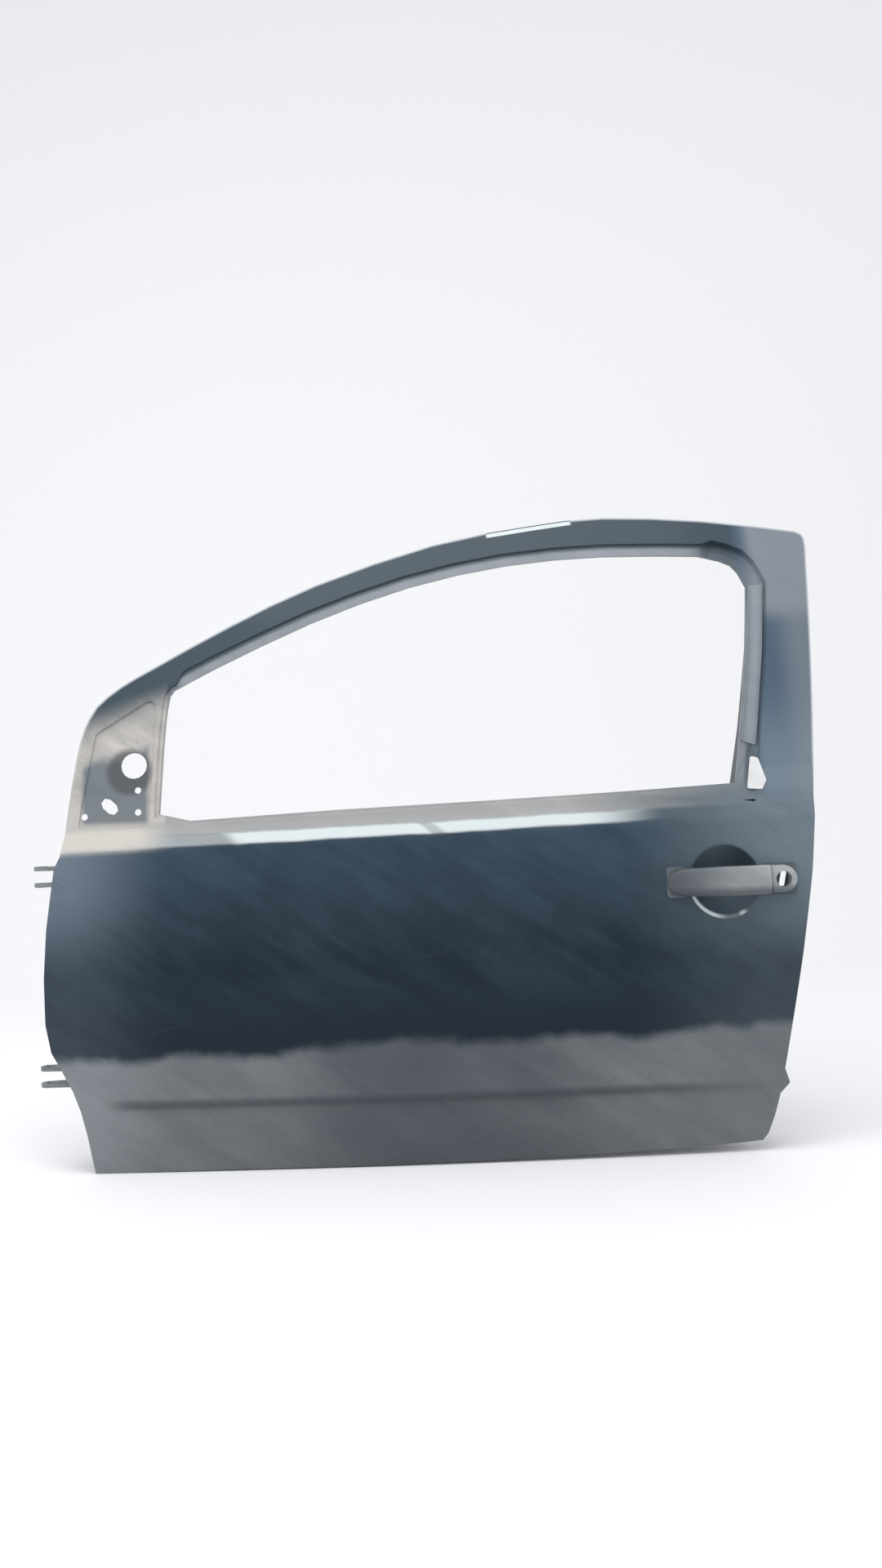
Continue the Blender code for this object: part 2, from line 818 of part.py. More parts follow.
def frame_row(places, kind):
    """Places on the frame with their depth, for one of the folds of its section."""
    if kind == "face":
        return [(x, z, frame_face_y(x, z) - skin_y(x, z)) for x, z in places]
    full = {"foot": pan_foot_depth, "return": frame_return_depth}[kind]
    return [(x, z, hat_depth(x, full)) for x, z in places]


def inner_window_frame():
    start = len(belt_shares) - 1

    def arch_at(distance):
        moved = inset(window_edge, -distance)
        row = moved[start:] + moved[:1]
        return [(row[0][0], shoulder_top(row[0][0]) + seam_gap), *row,
                (row[-1][0], shoulder_top(row[-1][0]) + seam_gap)]

    edge = edge_inset(hem_room, above_seam)
    flange = edge_inset(flange_width, above_seam)
    foot = edge_inset(hat_flange, above_seam)
    crown = edge_inset(hat_flange + draft, above_seam)
    for row in (edge, flange, foot, crown):
        for end in (0, -1):
            row[end] = (row[end][0], shoulder_top(row[end][0]) + seam_gap)
    face_edge = arch_at(window_clearance + draft)
    free_edge = arch_at(window_clearance)
    border = raised([*edge, flange[-1]], flange_depth)
    sail_foot = divided([crown[-1], face_edge[-1]], sail_facet)
    border += frame_row([foot[-1]], "foot") + frame_row(sail_foot, "face")
    border += frame_row(free_edge[::-1], "return")
    border += frame_row([face_edge[0], crown[0]], "face") + frame_row([foot[0]], "foot")
    border += raised([flange[0]], flange_depth)
    chains = [
        raised(flange, flange_depth),
        frame_row(foot, "foot"),
        frame_row(crown, "face"),
        frame_row(face_edge, "face"),
    ]
    holes = [raised(hole, sail_plate_depth) for hole in plate_holes]
    frame = pressing(
        "inner_window_frame",
        material("frame_paint", (0.020, 0.030, 0.045), 0.35, 0.0),
        skin_y,
        border,
        holes,
        (),
        chains,
        raised(sail_places(), sail_plate_depth),
    )
    return thicken(frame, panel_sheet)


inner_window_frame()


# Hinge leaves: a welded plate with two ears on the hinge face of the pan, without its pin.
# Each ear has a land round its bore, which the pin's head or clip rests on
upper_hinge_share = 0.451813
ear_thickness = 0.006
ear_clearance = 0.0005
ear_radius = 0.012
ear_margin = 0.004
ear_root = 0.040
land_radius = 0.0105
land_height = 0.0006
hinge_bore = 0.0045
leaf_sheet = 0.004
leaf_margin = 0.003
leaf_to_skin = 0.0115
leaf_width = 0.054
leaf_corner = 0.008
weld_depth = 0.001
bolt_radius = 0.004
bolt_margin = 0.0095
bolt_setback = 0.030
bolt_play = 0.0006
bolt_flange = 0.0070
bolt_flange_height = 0.0015
bolt_head = 0.0065
bolt_head_height = 0.0055
bolt_tail = 0.003
tapping_sheet = 0.006
tapping_margin = 0.006
tapping_setback = 0.010
tapping_width = 0.042
lower_face_half = -at(*lower_face_shares[1])[1]
leaf_half = lower_face_half - leaf_margin
tapping_half = lower_face_half - tapping_margin
bolt_offset = leaf_half - bolt_margin
ear_offset = bolt_offset - bolt_flange - ear_clearance - ear_thickness / 2
upper_hinge_z = (upper_hinge_share - lower_hinge_share) * door_height
hinges = {"upper": (upper_hinge_z, upper_face_x), "lower": (0.0, lower_face_x)}
leaf_low_y = max(skin_y(face_x, middle) for middle, face_x in hinges.values()) + leaf_to_skin
leaf_high_y = leaf_low_y + leaf_width
bolt_y = leaf_low_y + bolt_setback
tapping_low_y = leaf_low_y + tapping_setback
tapping_high_y = tapping_low_y + tapping_width


def steel(name, shade):
    return material(name, (shade, shade, shade), 0.45, 0.8)


def bolt_places(middle):
    return [(bolt_y, middle - bolt_offset), (bolt_y, middle + bolt_offset)]


def hexagon(radius):
    """Six corners and the middles of the sides between them."""
    flat = radius * math.cos(math.pi / 6)
    turns = [(math.tau * i / 12, flat if i % 2 else radius) for i in range(12)]
    return [(r * math.cos(turn), r * math.sin(turn)) for turn, r in turns]


def hinge_leaf(which, middle, face_x):
    back = face_x - panel_sheet - joint_gap
    front = back - leaf_sheet
    outline = rounded(box((leaf_low_y, middle - leaf_half), (leaf_high_y, middle + leaf_half)),
                      leaf_corner)
    holes = [circle(place, bolt_radius + bolt_play, 12) for place in bolt_places(middle)]
    look = material("hinge_paint_" + which, (0.016, 0.022, 0.030), 0.4, 0.0)
    leaf = prism(f"hinge_leaf_{which}", look, outline, front, back, facing_x, holes)
    nose = circle((0.0, 0.0), ear_radius, 24)[6:19]
    root = [leaf_low_y + ear_margin + ear_root * i / 4 for i in range(5)]
    ear = [*nose, *[(front + weld_depth, y) for y in root]]
    land = circle((0.0, 0.0), land_radius, 24)
    land = land[6:19] + [land[i] for i in (20, 22, 0, 2, 4)]
    ears = []
    for side in (-1, 1):
        inner = middle + side * (ear_offset - ear_thickness / 2)
        outer = inner + side * ear_thickness
        rings = [(inner, ear), (outer, ear), (outer, land), (outer + side * land_height, land)]
        ears.append(solid(f"ear_{which}_{side}", look, rings[::side], facing_z,
                          [circle((0.0, 0.0), hinge_bore, 16)]))
    return combined(leaf, "UNION", ears)


def tapping_plate(which, middle, face_x):
    front = face_x + draft + joint_gap
    outline = rounded(box((tapping_low_y, middle - tapping_half),
                          (tapping_high_y, middle + tapping_half)), leaf_corner)
    holes = [circle(place, bolt_radius + joint_gap, 12) for place in bolt_places(middle)]
    return prism(f"hinge_tapping_plate_{which}", steel("bare_plate_" + which, 0.25), outline,
                 front, front + tapping_sheet, facing_x, holes)


def hinge_bolts(which, middle, face_x):
    seat = face_x - panel_sheet - 2 * joint_gap - leaf_sheet
    end = face_x + draft + joint_gap + tapping_sheet + bolt_tail
    cutters = []
    for side, (y, z) in zip(("foot", "top"), bolt_places(middle)):
        def place(u, v, x):
            return (x, y + u, z + v)

        flange_top = seat - bolt_flange_height
        flange = circle((0.0, 0.0), bolt_flange, 12)
        shank = circle((0.0, 0.0), bolt_radius, 12)
        head = hexagon(bolt_head)
        rings = [(flange_top - bolt_head_height, head), (flange_top, head), (flange_top, flange)]
        rings += [(seat, flange), (seat, shank), (end, shank)]
        solid(f"hinge_bolt_{which}_{side}", steel(f"bolt_zinc_{which}_{side}", 0.5), rings, place)
        hole = circle((y, z), bolt_radius + bolt_play, 12)
        cutters.append(prism(f"bolt_hole_{which}_{side}", None, hole,
                             face_x - overrun, face_x + overrun, facing_x))
    return cutters


panel_cutters = []
for which, (middle, face_x) in hinges.items():
    hinge_leaf(which, middle, face_x)
    tapping_plate(which, middle, face_x)
    panel_cutters += hinge_bolts(which, middle, face_x)


# The slanted face between the hinges: slot for the check strap and hole for the wiring
slant_foot = at(*lower_face_shares[0])
slant_top = at(*upper_face_shares[1])
on_slant = against(slant_foot, slant_top, 1)
slant_length = (Vector(slant_top) - Vector(slant_foot)).length
check_share = 0.552267
check_height = check_share * slant_length
check_to_wall = 0.036
check_y = panel_y - check_to_wall
check_half_width = 0.011
check_half_height = 0.020
check_corner = 0.004
wiring_share = 0.818539
wiring_height = wiring_share * slant_length
wiring_to_wall = 0.040
wiring_y = panel_y - wiring_to_wall
wiring_radius = 0.016
check_plate_sheet = 0.0025
check_plate_margin = 0.013
check_screw_radius = 0.0035
check_screw_offset = 0.027


def check_outline(margin):
    half = (check_half_width + margin, check_half_height + margin)
    return rounded(box((check_y - half[0], check_height - half[1]),
                       (check_y + half[0], check_height + half[1])), check_corner)


check_screws = [circle((check_y, check_height + side * check_screw_offset), check_screw_radius, 12)
                for side in (-1, 1)]
prism(
    "check_strap_reinforcement",
    steel("check_plate_steel", 0.25),
    rounded(box((check_y - check_half_width - check_plate_margin / 2,
                 check_height - check_half_height - check_plate_margin),
                (check_y + check_half_width + check_plate_margin / 2,
                 check_height + check_half_height + check_plate_margin)), check_corner),
    draft + joint_gap,
    draft + joint_gap + check_plate_sheet,
    on_slant,
    [check_outline(0.0), *check_screws],
)
for number, loop in enumerate([check_outline(0.0), *check_screws]):
    panel_cutters.append(prism(f"check_hole_{number}", None, loop, -overrun, overrun, on_slant))
panel_cutters.append(prism("wiring_hole", None, circle((wiring_y, wiring_height), wiring_radius, 20),
                           -overrun, overrun, on_slant))


# The latch face: an opening for the latch with its screws, and a plate behind it
latch_foot = at(*pan_low_shares[-1])
latch_top = at(*pan_rear_top_share)
on_latch_face = against(latch_foot, latch_top, -1)
latch_face_length = (Vector(latch_top) - Vector(latch_foot)).length
latch_share = 0.746655
latch_height = latch_share * latch_face_length
latch_to_wall = 0.027
latch_y = panel_y - latch_to_wall
latch_half_width = 0.022
latch_half_height = 0.030
latch_corner = 0.006
latch_screw_radius = 0.0035
latch_screws_share = [(-0.78, 1.42), (0.85, 1.30), (0.20, -1.45)]
latch_plate_sheet = 0.002
latch_plate_margin = 0.020
latch_rim = 0.001


def latch_outline(margin):
    half = (latch_half_width + margin, latch_half_height + margin)
    return rounded(box((latch_y - half[0], latch_height - half[1]),
                       (latch_y + half[0], latch_height + half[1])), latch_corner + margin / 2)


latch_screws = [
    circle((latch_y + u * latch_half_width, latch_height + v * latch_half_height),
           latch_screw_radius, 12)
    for u, v in latch_screws_share
]
latch_plate = rounded(box((latch_y - latch_half_width - latch_plate_margin,
                           latch_height - latch_half_height - latch_plate_margin),
                          (panel_y - joint_gap - latch_rim,
                           latch_height + latch_half_height + latch_plate_margin)), latch_corner)
prism("latch_reinforcement", steel("latch_plate_steel", 0.25), latch_plate, draft + joint_gap,
      draft + joint_gap + latch_plate_sheet, on_latch_face,
      [latch_outline(0.0), *latch_screws])
for number, loop in enumerate([latch_outline(0.0), *latch_screws]):
    panel_cutters.append(prism(f"latch_hole_{number}", None, loop, -overrun, overrun,
                               on_latch_face))
combined(bpy.data.objects["inner_panel"], "DIFFERENCE", panel_cutters)


# Side impact beam: a steel tube across the door, its ends held in collars
beam_radius = 0.0127
beam_wall = 0.002
beam_slack = 0.0004
beam_clearance = 0.0024
beam_front_share = 0.512819
beam_rear_share = 0.283540
collar_wall = 0.0015
collar_length = 0.034
bracket_sheet = 0.002
bracket_half = 0.026
bracket_outwards = 0.008
bracket_clearance = 0.0025
bracket_corner = 0.004
beam_heights = [beam_front_share * slant_length, beam_rear_share * latch_face_length]
beam_spots = [on_slant(0.0, beam_heights[0], 0.0), on_latch_face(0.0, beam_heights[1], 0.0)]
beam_y = max(skin_y(x, z) for x, _, z in beam_spots) + skin_sheet + beam_radius + beam_clearance
bracket_low_y = beam_y - bracket_outwards
bracket_high_y = check_y - check_half_width - check_plate_margin / 2 - bracket_clearance


def beam_bracket(name, place, height, other_end):
    """A flange on the pan's face with a collar that stands along the beam."""
    face = draft + joint_gap
    start = place(beam_y, height, face)
    outline = rounded(box((bracket_low_y, height - bracket_half),
                          (bracket_high_y, height + bracket_half)), bracket_corner)
    look = steel(name + "_steel", 0.2)
    flange = prism(name, look, outline, face, face + bracket_sheet, place)
    way = along(start, other_end)
    bore = beam_radius + beam_slack
    collar = prism(name + "_collar", look, circle((0.0, 0.0), bore + collar_wall, 24),
                   -overrun, collar_length, way)
    hollow = prism(name + "_hollow", None, circle((0.0, 0.0), bore, 24),
                   2 * bracket_sheet, collar_length + overrun, way)
    beyond = prism(name + "_beyond", None, inset(outline, -collar_length / 2), -bracket_half,
                   face + bracket_sheet / 2, place)
    combined(collar, "DIFFERENCE", [beyond])
    combined(flange, "UNION", [collar])
    return combined(flange, "DIFFERENCE", [hollow])


beam_ends = [(x, beam_y, z) for x, _, z in beam_spots]
beam_bracket("beam_bracket_front", on_slant, beam_heights[0], beam_ends[1])
beam_bracket("beam_bracket_rear", on_latch_face, beam_heights[1], beam_ends[0])
beam_length = (Vector(beam_ends[1]) - Vector(beam_ends[0])).length
beam_inset = 4 * bracket_sheet
prism("side_impact_beam", steel("beam_steel", 0.2), circle((0.0, 0.0), beam_radius, 24),
      beam_inset, beam_length - beam_inset, along(*beam_ends),
      [circle((0.0, 0.0), beam_radius - beam_wall, 24)])


# Belt reinforcements: hat-section strips along both sides of the glass slot
belt_end_shares = (0.161316, 0.858262)
belt_strip_sheet = 0.0012
belt_flange = 0.004
belt_crown = 0.005
belt_fold = 0.0015
belt_margin = 0.003
inner_belt_flange = 0.009
inner_belt_crown = 0.009


def strip_rows(levels):
    """Rows of places along the belt, one for each level, with the same stations."""
    start, end = (front_edge_x + share * door_length for share in belt_end_shares)
    count = math.ceil((end - start) / facet_length)
    xs = [start + (end - start) * i / count for i in range(count + 1)]
    return [[(x, level(x), depth) for x in xs] for level, depth in levels]


def strip(name, look, base, levels, sheet):
    """A long folded strip from the height and depth of each of its folds."""
    rows = strip_rows(levels)
    ends = [[row[end] for row in rows[1:-1]] for end in (-1, 0)]
    border = rows[0] + ends[0] + rows[-1][::-1] + ends[1][::-1]
    return thicken(pressing(name, look, base, border, chains=rows[1:-1]), sheet)


def shoulder_level(share):
    """Height at a share of the way up the shoulder's slope."""
    return lambda x: shoulder_foot(x) + (shoulder_top(x) - shoulder_foot(x)) * share


def outer_belt():
    def above_foot(distance):
        return lambda x: shoulder_foot(x) + distance

    def below_top(distance):
        return lambda x: shoulder_top(x) - distance

    flat = skin_sheet + hem_gap
    crown = flat + belt_crown
    levels = [
        (above_foot(belt_margin), flat),
        (above_foot(belt_margin + belt_flange), flat),
        (above_foot(belt_margin + belt_flange + belt_fold), crown),
        (below_top(belt_margin + belt_flange + belt_fold), crown),
        (below_top(belt_margin + belt_flange), flat),
        (below_top(belt_margin), flat),
    ]
    return strip("belt_reinforcement_outer", steel("outer_belt_steel", 0.2), skin_y, levels,
                 belt_strip_sheet)


def inner_belt():
    """The strip on the panel bridges the bead that is pressed towards it."""
    def bead_line(first, last, distance):
        return lambda x: level_between(bead_shares[first], bead_shares[last], x) + distance

    flat = panel_y - joint_gap - belt_strip_sheet
    crown = panel_y - inner_belt_crown
    clear = belt_fold + belt_margin
    levels = [
        (bead_line(0, 1, -clear - inner_belt_flange), flat),
        (bead_line(0, 1, -clear), flat),
        (bead_line(0, 1, -belt_margin), crown),
        (bead_line(3, 2, belt_margin), crown),
        (bead_line(3, 2, clear), flat),
        (bead_line(3, 2, clear + inner_belt_flange), flat),
    ]
    return strip("belt_reinforcement_inner", steel("inner_belt_steel", 0.2),
                 lambda x, z: 0.0, levels, belt_strip_sheet)


outer_belt()
inner_belt()


# Mirror reinforcement: a thick plate behind the sail with the same holes
mirror_plate_sheet = 0.0025
mirror_plate_corner = 0.006
mirror_plate_shares = [(0.0588, 0.5312), (0.1235, 0.5930)]


def mirror_reinforcement():
    border = rounded(box(*[at(*share) for share in mirror_plate_shares]), mirror_plate_corner, 2)
    border = divided([*border, border[0]], sail_facet)[:-1]
    depth = sail_plate_depth + panel_sheet + hem_gap
    holes = [hole for hole in plate_holes if all(encloses(border, *place) for place in hole)]
    spots = [p for p in sail_places()
             if encloses(border, *p) and distance_to(border, *p) > mirror_plate_corner]
    plate = pressing("mirror_reinforcement", steel("mirror_plate_steel", 0.2), skin_y,
                     raised(border, depth), [raised(hole, depth) for hole in holes], (), (),
                     raised(spots, depth))
    return thicken(plate, mirror_plate_sheet)


mirror_reinforcement()


# Run channel: a light U strip in the band beside the window, and the folded tab at its foot
channel_margin = 0.003
channel_width = 0.022
channel_wall = 0.0055
channel_sheet = 0.001
channel_start = len(belt_shares) - 1
channel_foot_share = 0.78


def channel_row(distance):
    moved = inset(window_edge, -distance)[channel_start : channel_start + 4]
    return [tuple(Vector(moved[0]).lerp(Vector(moved[1]), channel_foot_share)), *moved[1:]]


def rear_run_channel():
    web = run_band_depth - hem_gap - channel_sheet
    top = web - channel_wall
    last = channel_margin + channel_width
    rows = [(channel_margin, top), (channel_margin + draft, web), (last - draft, web), (last, top)]
    placed_rows = [raised(channel_row(distance), depth) for distance, depth in rows]
    ends = [[row[end] for row in placed_rows[1:-1]] for end in (-1, 0)]
    border = placed_rows[0] + ends[0] + placed_rows[-1][::-1] + ends[1][::-1]
    channel = pressing("rear_run_channel", material("channel_grey", (0.35, 0.38, 0.42), 0.5, 0.0),
                       skin_y, border, chains=placed_rows[1:-1])
    return thicken(channel, channel_sheet)


rear_run_channel()
tab_shares = [(0.8830, 0.5500), (0.9025, 0.5480), (0.9085, 0.5625), (0.9000, 0.5965),
              (0.8900, 0.6000)]
tab_sheet = 0.0010
tab_corner = 0.003
tab_outline = rounded([at(*share) for share in tab_shares], tab_corner, 2)
prism("channel_end_tab", steel("bright_steel", 0.8), tab_outline,
      -joint_gap - tab_sheet, -joint_gap, on_skin)


# Pull handle: gaskets on the skin, a fixed end cap with the bare lock hole, a grip that
# swings on a pin at its front end, and the brackets behind the skin
gasket_sheet = 0.0015
gasket_margin = 0.0015
cap_back = gasket_sheet + 2 * joint_gap
cap_height = 0.043
cap_proud = 0.0155
cap_round = 0.0035
boss_depth = 0.006
pivot_depth = 0.010
arm_round = 0.0046
pin_radius = 0.002
pin_play = 0.0002
pin_half = 0.012
ear_play = 0.0005
ear_sheet = 0.002
bracket_plate = 0.002
bracket_play = 0.0008
spring_wire = 0.0005
spring_play = 0.0004
spring_turns = 5
spring_pitch = 0.0012
grip_gap = 0.0012
grip_rear = cap_front - grip_gap
grip_proud = 0.0255
# Along the grip: how far from its front, how proud its two faces stand, how high it is
grip_length_shares = [0.0, 0.04, 0.10, 0.20, 0.36, 0.55, 0.72, 0.86, 0.94, 1.0]
grip_outer_shares = [0.26, 0.43, 0.61, 0.79, 0.94, 1.0, 1.0, 0.94, 0.87, 0.81]
grip_under_shares = [0.18, 0.14, 0.09, 0.12, 0.35, 0.49, 0.49, 0.35, 0.16, 0.095]
grip_height_shares = [0.30, 0.62, 0.84, 0.94, 0.97, 1.0, 1.0, 1.0, 1.0, 0.98]
grip_squareness_share = 0.62
pivot = (pivot_x, skin_y(pivot_x, handle_z) + pivot_depth)


def handle_gasket(name, front, rear, holes):
    half = handle_height / 2 + gasket_margin
    outline = rounded(box((front, handle_z - half), (rear, handle_z + half)), seat_corner, 2)
    outline = divided([*outline, outline[0]], seat_facet)[:-1]
    return prism(name, material(name + "_rubber", (0.02, 0.02, 0.02), 0.8, 0.0), outline,
                 -joint_gap - gasket_sheet, -joint_gap, on_skin, holes)


def squared_circle(centre, half_width, half_height, count=16):
    """A ring between an ellipse and a rectangle."""
    found = []
    for i in range(count):
        turn = math.tau * i / count
        c, s = math.cos(turn), math.sin(turn)
        u = math.copysign(abs(c) ** grip_squareness_share, c) * half_width
        v = math.copysign(abs(s) ** grip_squareness_share, s) * half_height
        found.append((centre[0] + u, centre[1] + v))
    return found


def grip_ring(index):
    x = grip_front + (grip_rear - grip_front) * grip_length_shares[index]
    outer = -grip_proud * grip_outer_shares[index]
    under = -grip_proud * grip_under_shares[index]
    tall = handle_height * grip_height_shares[index] / 2
    return (x, squared_circle(((outer + under) / 2, handle_z), (under - outer) / 2, tall))


def handle_grip():
    look = material("handle_plastic", (0.10, 0.11, 0.12), 0.5, 0.0)
    rings = [grip_ring(i) for i in range(len(grip_length_shares))]
    grip = solid("handle_grip", look, rings, lambda depth, z, x: on_skin(x, z, depth))
    low = handle_z - arm_width / 2
    root = skin_y(pivot_x, handle_z) - grip_proud / 3
    nose = circle(pivot, arm_round, 16)[:9]
    outline = [(pivot_x + arm_half, root), *nose, (pivot_x - arm_half, root)]
    front_arm = prism("grip_front_arm", None, outline, low, low + arm_width, facing_z)
    surface = skin_y(rear_arm_x, handle_z)
    half = rear_arm_half
    outline = [(rear_arm_x - half, surface - grip_proud / 2),
               (rear_arm_x + half, surface - grip_proud / 2),
               (rear_arm_x + half / 2, surface + arm_reach),
               (rear_arm_x - half / 2, surface + arm_reach)]
    rear_arm = prism("grip_rear_arm", None, outline, low, low + arm_width, facing_z)
    bore = prism("grip_bore", None, circle(pivot, pin_radius + pin_play, 16),
                 handle_z - pin_half, handle_z + pin_half, facing_z)
    combined(grip, "UNION", [front_arm, rear_arm])
    combined(grip, "DIFFERENCE", [bore])
    # Its origin goes to the pivot, which it turns about
    grip.location = (*pivot, handle_z)
    grip.data.transform(Matrix.Translation(-grip.location))


def handle_end_cap():
    look = material("cap_plastic", (0.10, 0.11, 0.12), 0.45, 0.0)
    half = cap_height / 2
    outline = circle((cap_rear - half, handle_z), half, 24, -math.pi / 2)[:13]
    outline += [(cap_front, handle_z + half), (cap_front, handle_z - half)]
    rings = [(-cap_proud, inset(outline, cap_round)),
             (-cap_proud + cap_round * (1 - math.cos(math.pi / 4)),
              inset(outline, cap_round * (1 - math.sin(math.pi / 4)))),
             (-cap_proud + cap_round, outline),
             (-cap_back, outline)]
    hole = circle((lock_x, handle_z), lock_radius, 24)
    cap = solid("handle_end_cap", look, rings, on_skin, [hole])
    boss = prism("cap_boss", None, circle((lock_x, handle_z), boss_radius, 24),
                 -cap_back - overrun, boss_depth, on_skin, [hole])
    return combined(cap, "UNION", [boss])


def pivot_bracket():
    """A pressed plate on the back of the skin with two ears for the pin."""
    base = skin_sheet + hem_gap
    half = handle_height / 2
    outline = rounded(box((grip_front, handle_z - half),
                          (handle_x - cup_radius - seat_margin, handle_z + half)), seat_corner, 2)
    outline = divided([*outline, outline[0]], seat_facet)[:-1]
    plate = prism("handle_pivot_bracket", steel("pivot_bracket_steel", 0.3), outline, base,
                  base + bracket_plate, on_skin, [inset(front_arm_hole, -bracket_play)])
    ears = []
    for side in (-1, 1):
        inner = handle_z + side * (arm_width / 2 + ear_play)
        outer = inner + side * ear_sheet
        root = pivot[1] - pivot_depth + base + bracket_plate / 2
        nose = circle(pivot, arm_half, 16)[:9]
        shape = [(pivot_x + arm_half, root), *nose, (pivot_x - arm_half, root)]
        ears.append(prism(f"pivot_ear_{side}", None, shape, min(inner, outer), max(inner, outer),
                          facing_z, [circle(pivot, pin_radius + pin_play, 16)]))
    return combined(plate, "UNION", ears)


def pivot_pin():
    prism("handle_pivot_pin", steel("pin_steel", 0.5), circle(pivot, pin_radius, 16),
          handle_z - pin_half - spring_turns * spring_pitch, handle_z + pin_half, facing_z)


def return_spring():
    """A coil round the pin below the lower ear."""
    radius = pin_radius + spring_play + spring_wire
    top = handle_z - arm_width / 2 - ear_play - ear_sheet - joint_gap - spring_wire
    bm = bmesh.new()
    steps = 12
    rows = []
    for i in range(spring_turns * steps + 1):
        turn = math.tau * i / steps
        out = Vector((math.cos(turn), math.sin(turn), 0.0))
        middle = Vector((*pivot, top - spring_pitch * i / steps)) + out * radius
        ring = circle((0.0, 0.0), spring_wire, 6)
        rows.append([bm.verts.new(middle + out * u + Vector((0.0, 0.0, v))) for u, v in ring])
    for row, on in zip(rows, rows[1:]):
        for i in range(len(row)):
            k = (i + 1) % len(row)
            bm.faces.new([row[i], row[k], on[k], on[i]])
    bm.faces.new(rows[0])
    bm.faces.new(rows[-1])
    bmesh.ops.recalc_face_normals(bm, faces=bm.faces)
    return finish("handle_return_spring", bm, steel("spring_steel", 0.5))


def rear_bracket():
    """A plate behind the end cap that guides the grip's rear arm."""
    base = skin_sheet + hem_gap
    half = handle_height / 2
    outline = rounded(box((handle_x + cup_radius + seat_margin, handle_z - half),
                          (lock_x + boss_radius + seat_margin, handle_z + half)),
                      seat_corner, 2)
    outline = divided([*outline, outline[0]], seat_facet)[:-1]
    hole = circle((lock_x, handle_z), boss_radius + bracket_play, 24)
    return prism("handle_rear_bracket", steel("rear_bracket_steel", 0.3), outline, base,
                 base + bracket_plate, on_skin, [hole, inset(rear_arm_hole, -bracket_play / 2)])


handle_gasket("handle_gasket_front", grip_front - gasket_margin,
              handle_x - cup_radius - seat_margin, [inset(front_arm_hole, -bracket_play / 2)])
handle_gasket("handle_gasket_rear", handle_x + cup_radius + seat_margin,
              cap_rear + gasket_margin, [inset(rear_arm_hole, -bracket_play / 4), lock_hole])
handle_grip()
handle_end_cap()
pivot_bracket()
pivot_pin()
return_spring()
rear_bracket()
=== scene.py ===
"""Looks of a bare left-hand front door shell of a small car: dusty dark paint on pressed steel."""

import math
from types import SimpleNamespace

import bmesh
import bpy
from mathutils import Matrix, Vector
from mathutils.kdtree import KDTree


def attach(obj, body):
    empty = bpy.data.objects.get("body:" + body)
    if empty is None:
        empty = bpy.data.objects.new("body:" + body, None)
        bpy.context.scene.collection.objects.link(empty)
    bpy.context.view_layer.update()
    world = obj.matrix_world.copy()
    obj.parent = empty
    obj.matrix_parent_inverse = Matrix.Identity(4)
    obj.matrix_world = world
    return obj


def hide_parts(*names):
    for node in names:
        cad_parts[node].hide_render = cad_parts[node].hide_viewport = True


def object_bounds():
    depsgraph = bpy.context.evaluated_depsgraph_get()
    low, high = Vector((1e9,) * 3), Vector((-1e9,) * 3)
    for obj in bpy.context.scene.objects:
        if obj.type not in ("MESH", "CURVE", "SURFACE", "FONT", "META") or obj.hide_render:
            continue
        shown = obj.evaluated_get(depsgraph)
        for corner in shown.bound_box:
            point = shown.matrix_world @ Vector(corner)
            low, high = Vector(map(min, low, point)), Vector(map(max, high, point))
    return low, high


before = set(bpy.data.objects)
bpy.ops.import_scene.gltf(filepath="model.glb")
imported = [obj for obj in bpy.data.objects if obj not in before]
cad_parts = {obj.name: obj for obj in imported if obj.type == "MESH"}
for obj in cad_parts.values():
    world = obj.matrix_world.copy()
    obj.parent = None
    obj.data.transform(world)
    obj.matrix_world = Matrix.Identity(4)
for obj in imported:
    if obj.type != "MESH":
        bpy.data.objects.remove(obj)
cad_low, cad_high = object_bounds()


# Camera: at the photograph's place, level and square to the door, rolled a little
camera_place = (0.646, -2.10, 0.4475)
camera_lens = 30.0
camera_sensor = 36.0
camera_roll = math.radians(2.0)

camera_data = bpy.data.cameras.new("camera")
camera_data.lens = camera_lens
camera_data.sensor_width = camera_sensor
camera = bpy.data.objects.new("camera", camera_data)
bpy.context.scene.collection.objects.link(camera)
right = Vector((math.cos(camera_roll), 0.0, -math.sin(camera_roll)))
up = Vector((math.sin(camera_roll), 0.0, math.cos(camera_roll)))
turned = Matrix((right, up, right.cross(up))).transposed().to_4x4()
camera.matrix_world = Matrix.Translation(camera_place) @ turned
bpy.context.scene.camera = camera


# Floor and backdrop: one pale sheet that curves up behind the door
floor_gap = 0.0006
floor_z = cad_low[2] - floor_gap
floor_front = -6.0
floor_left = -16.0
floor_right = 16.646
backdrop_y = 3.0
backdrop_radius = 1.2
backdrop_top = 5.0
backdrop_steps = 12
floor_colour = (0.92, 0.92, 0.93)
floor_patches = (0.95, 0.95, 0.955)


def put(tree, kind, inputs=(), **settings):
    """A shader node with its settings and inputs: a value is set, a socket is linked."""
    made = tree.nodes.new(kind)
    for name, value in settings.items():
        setattr(made, name, value)
    for key, value in inputs.items() if isinstance(inputs, dict) else enumerate(inputs):
        if isinstance(value, bpy.types.NodeSocket):
            tree.links.new(value, made.inputs[key])
        elif value is not None:
            made.inputs[key].default_value = value
    return made


def blend_colour(tree, mask, below, above):
    """The colour above laid over the one below where the mask is one."""
    values = [mask, below if isinstance(below, bpy.types.NodeSocket) else (*below, 1.0), (*above, 1.0)]
    return put(tree, "ShaderNodeMixRGB", values).outputs[0]


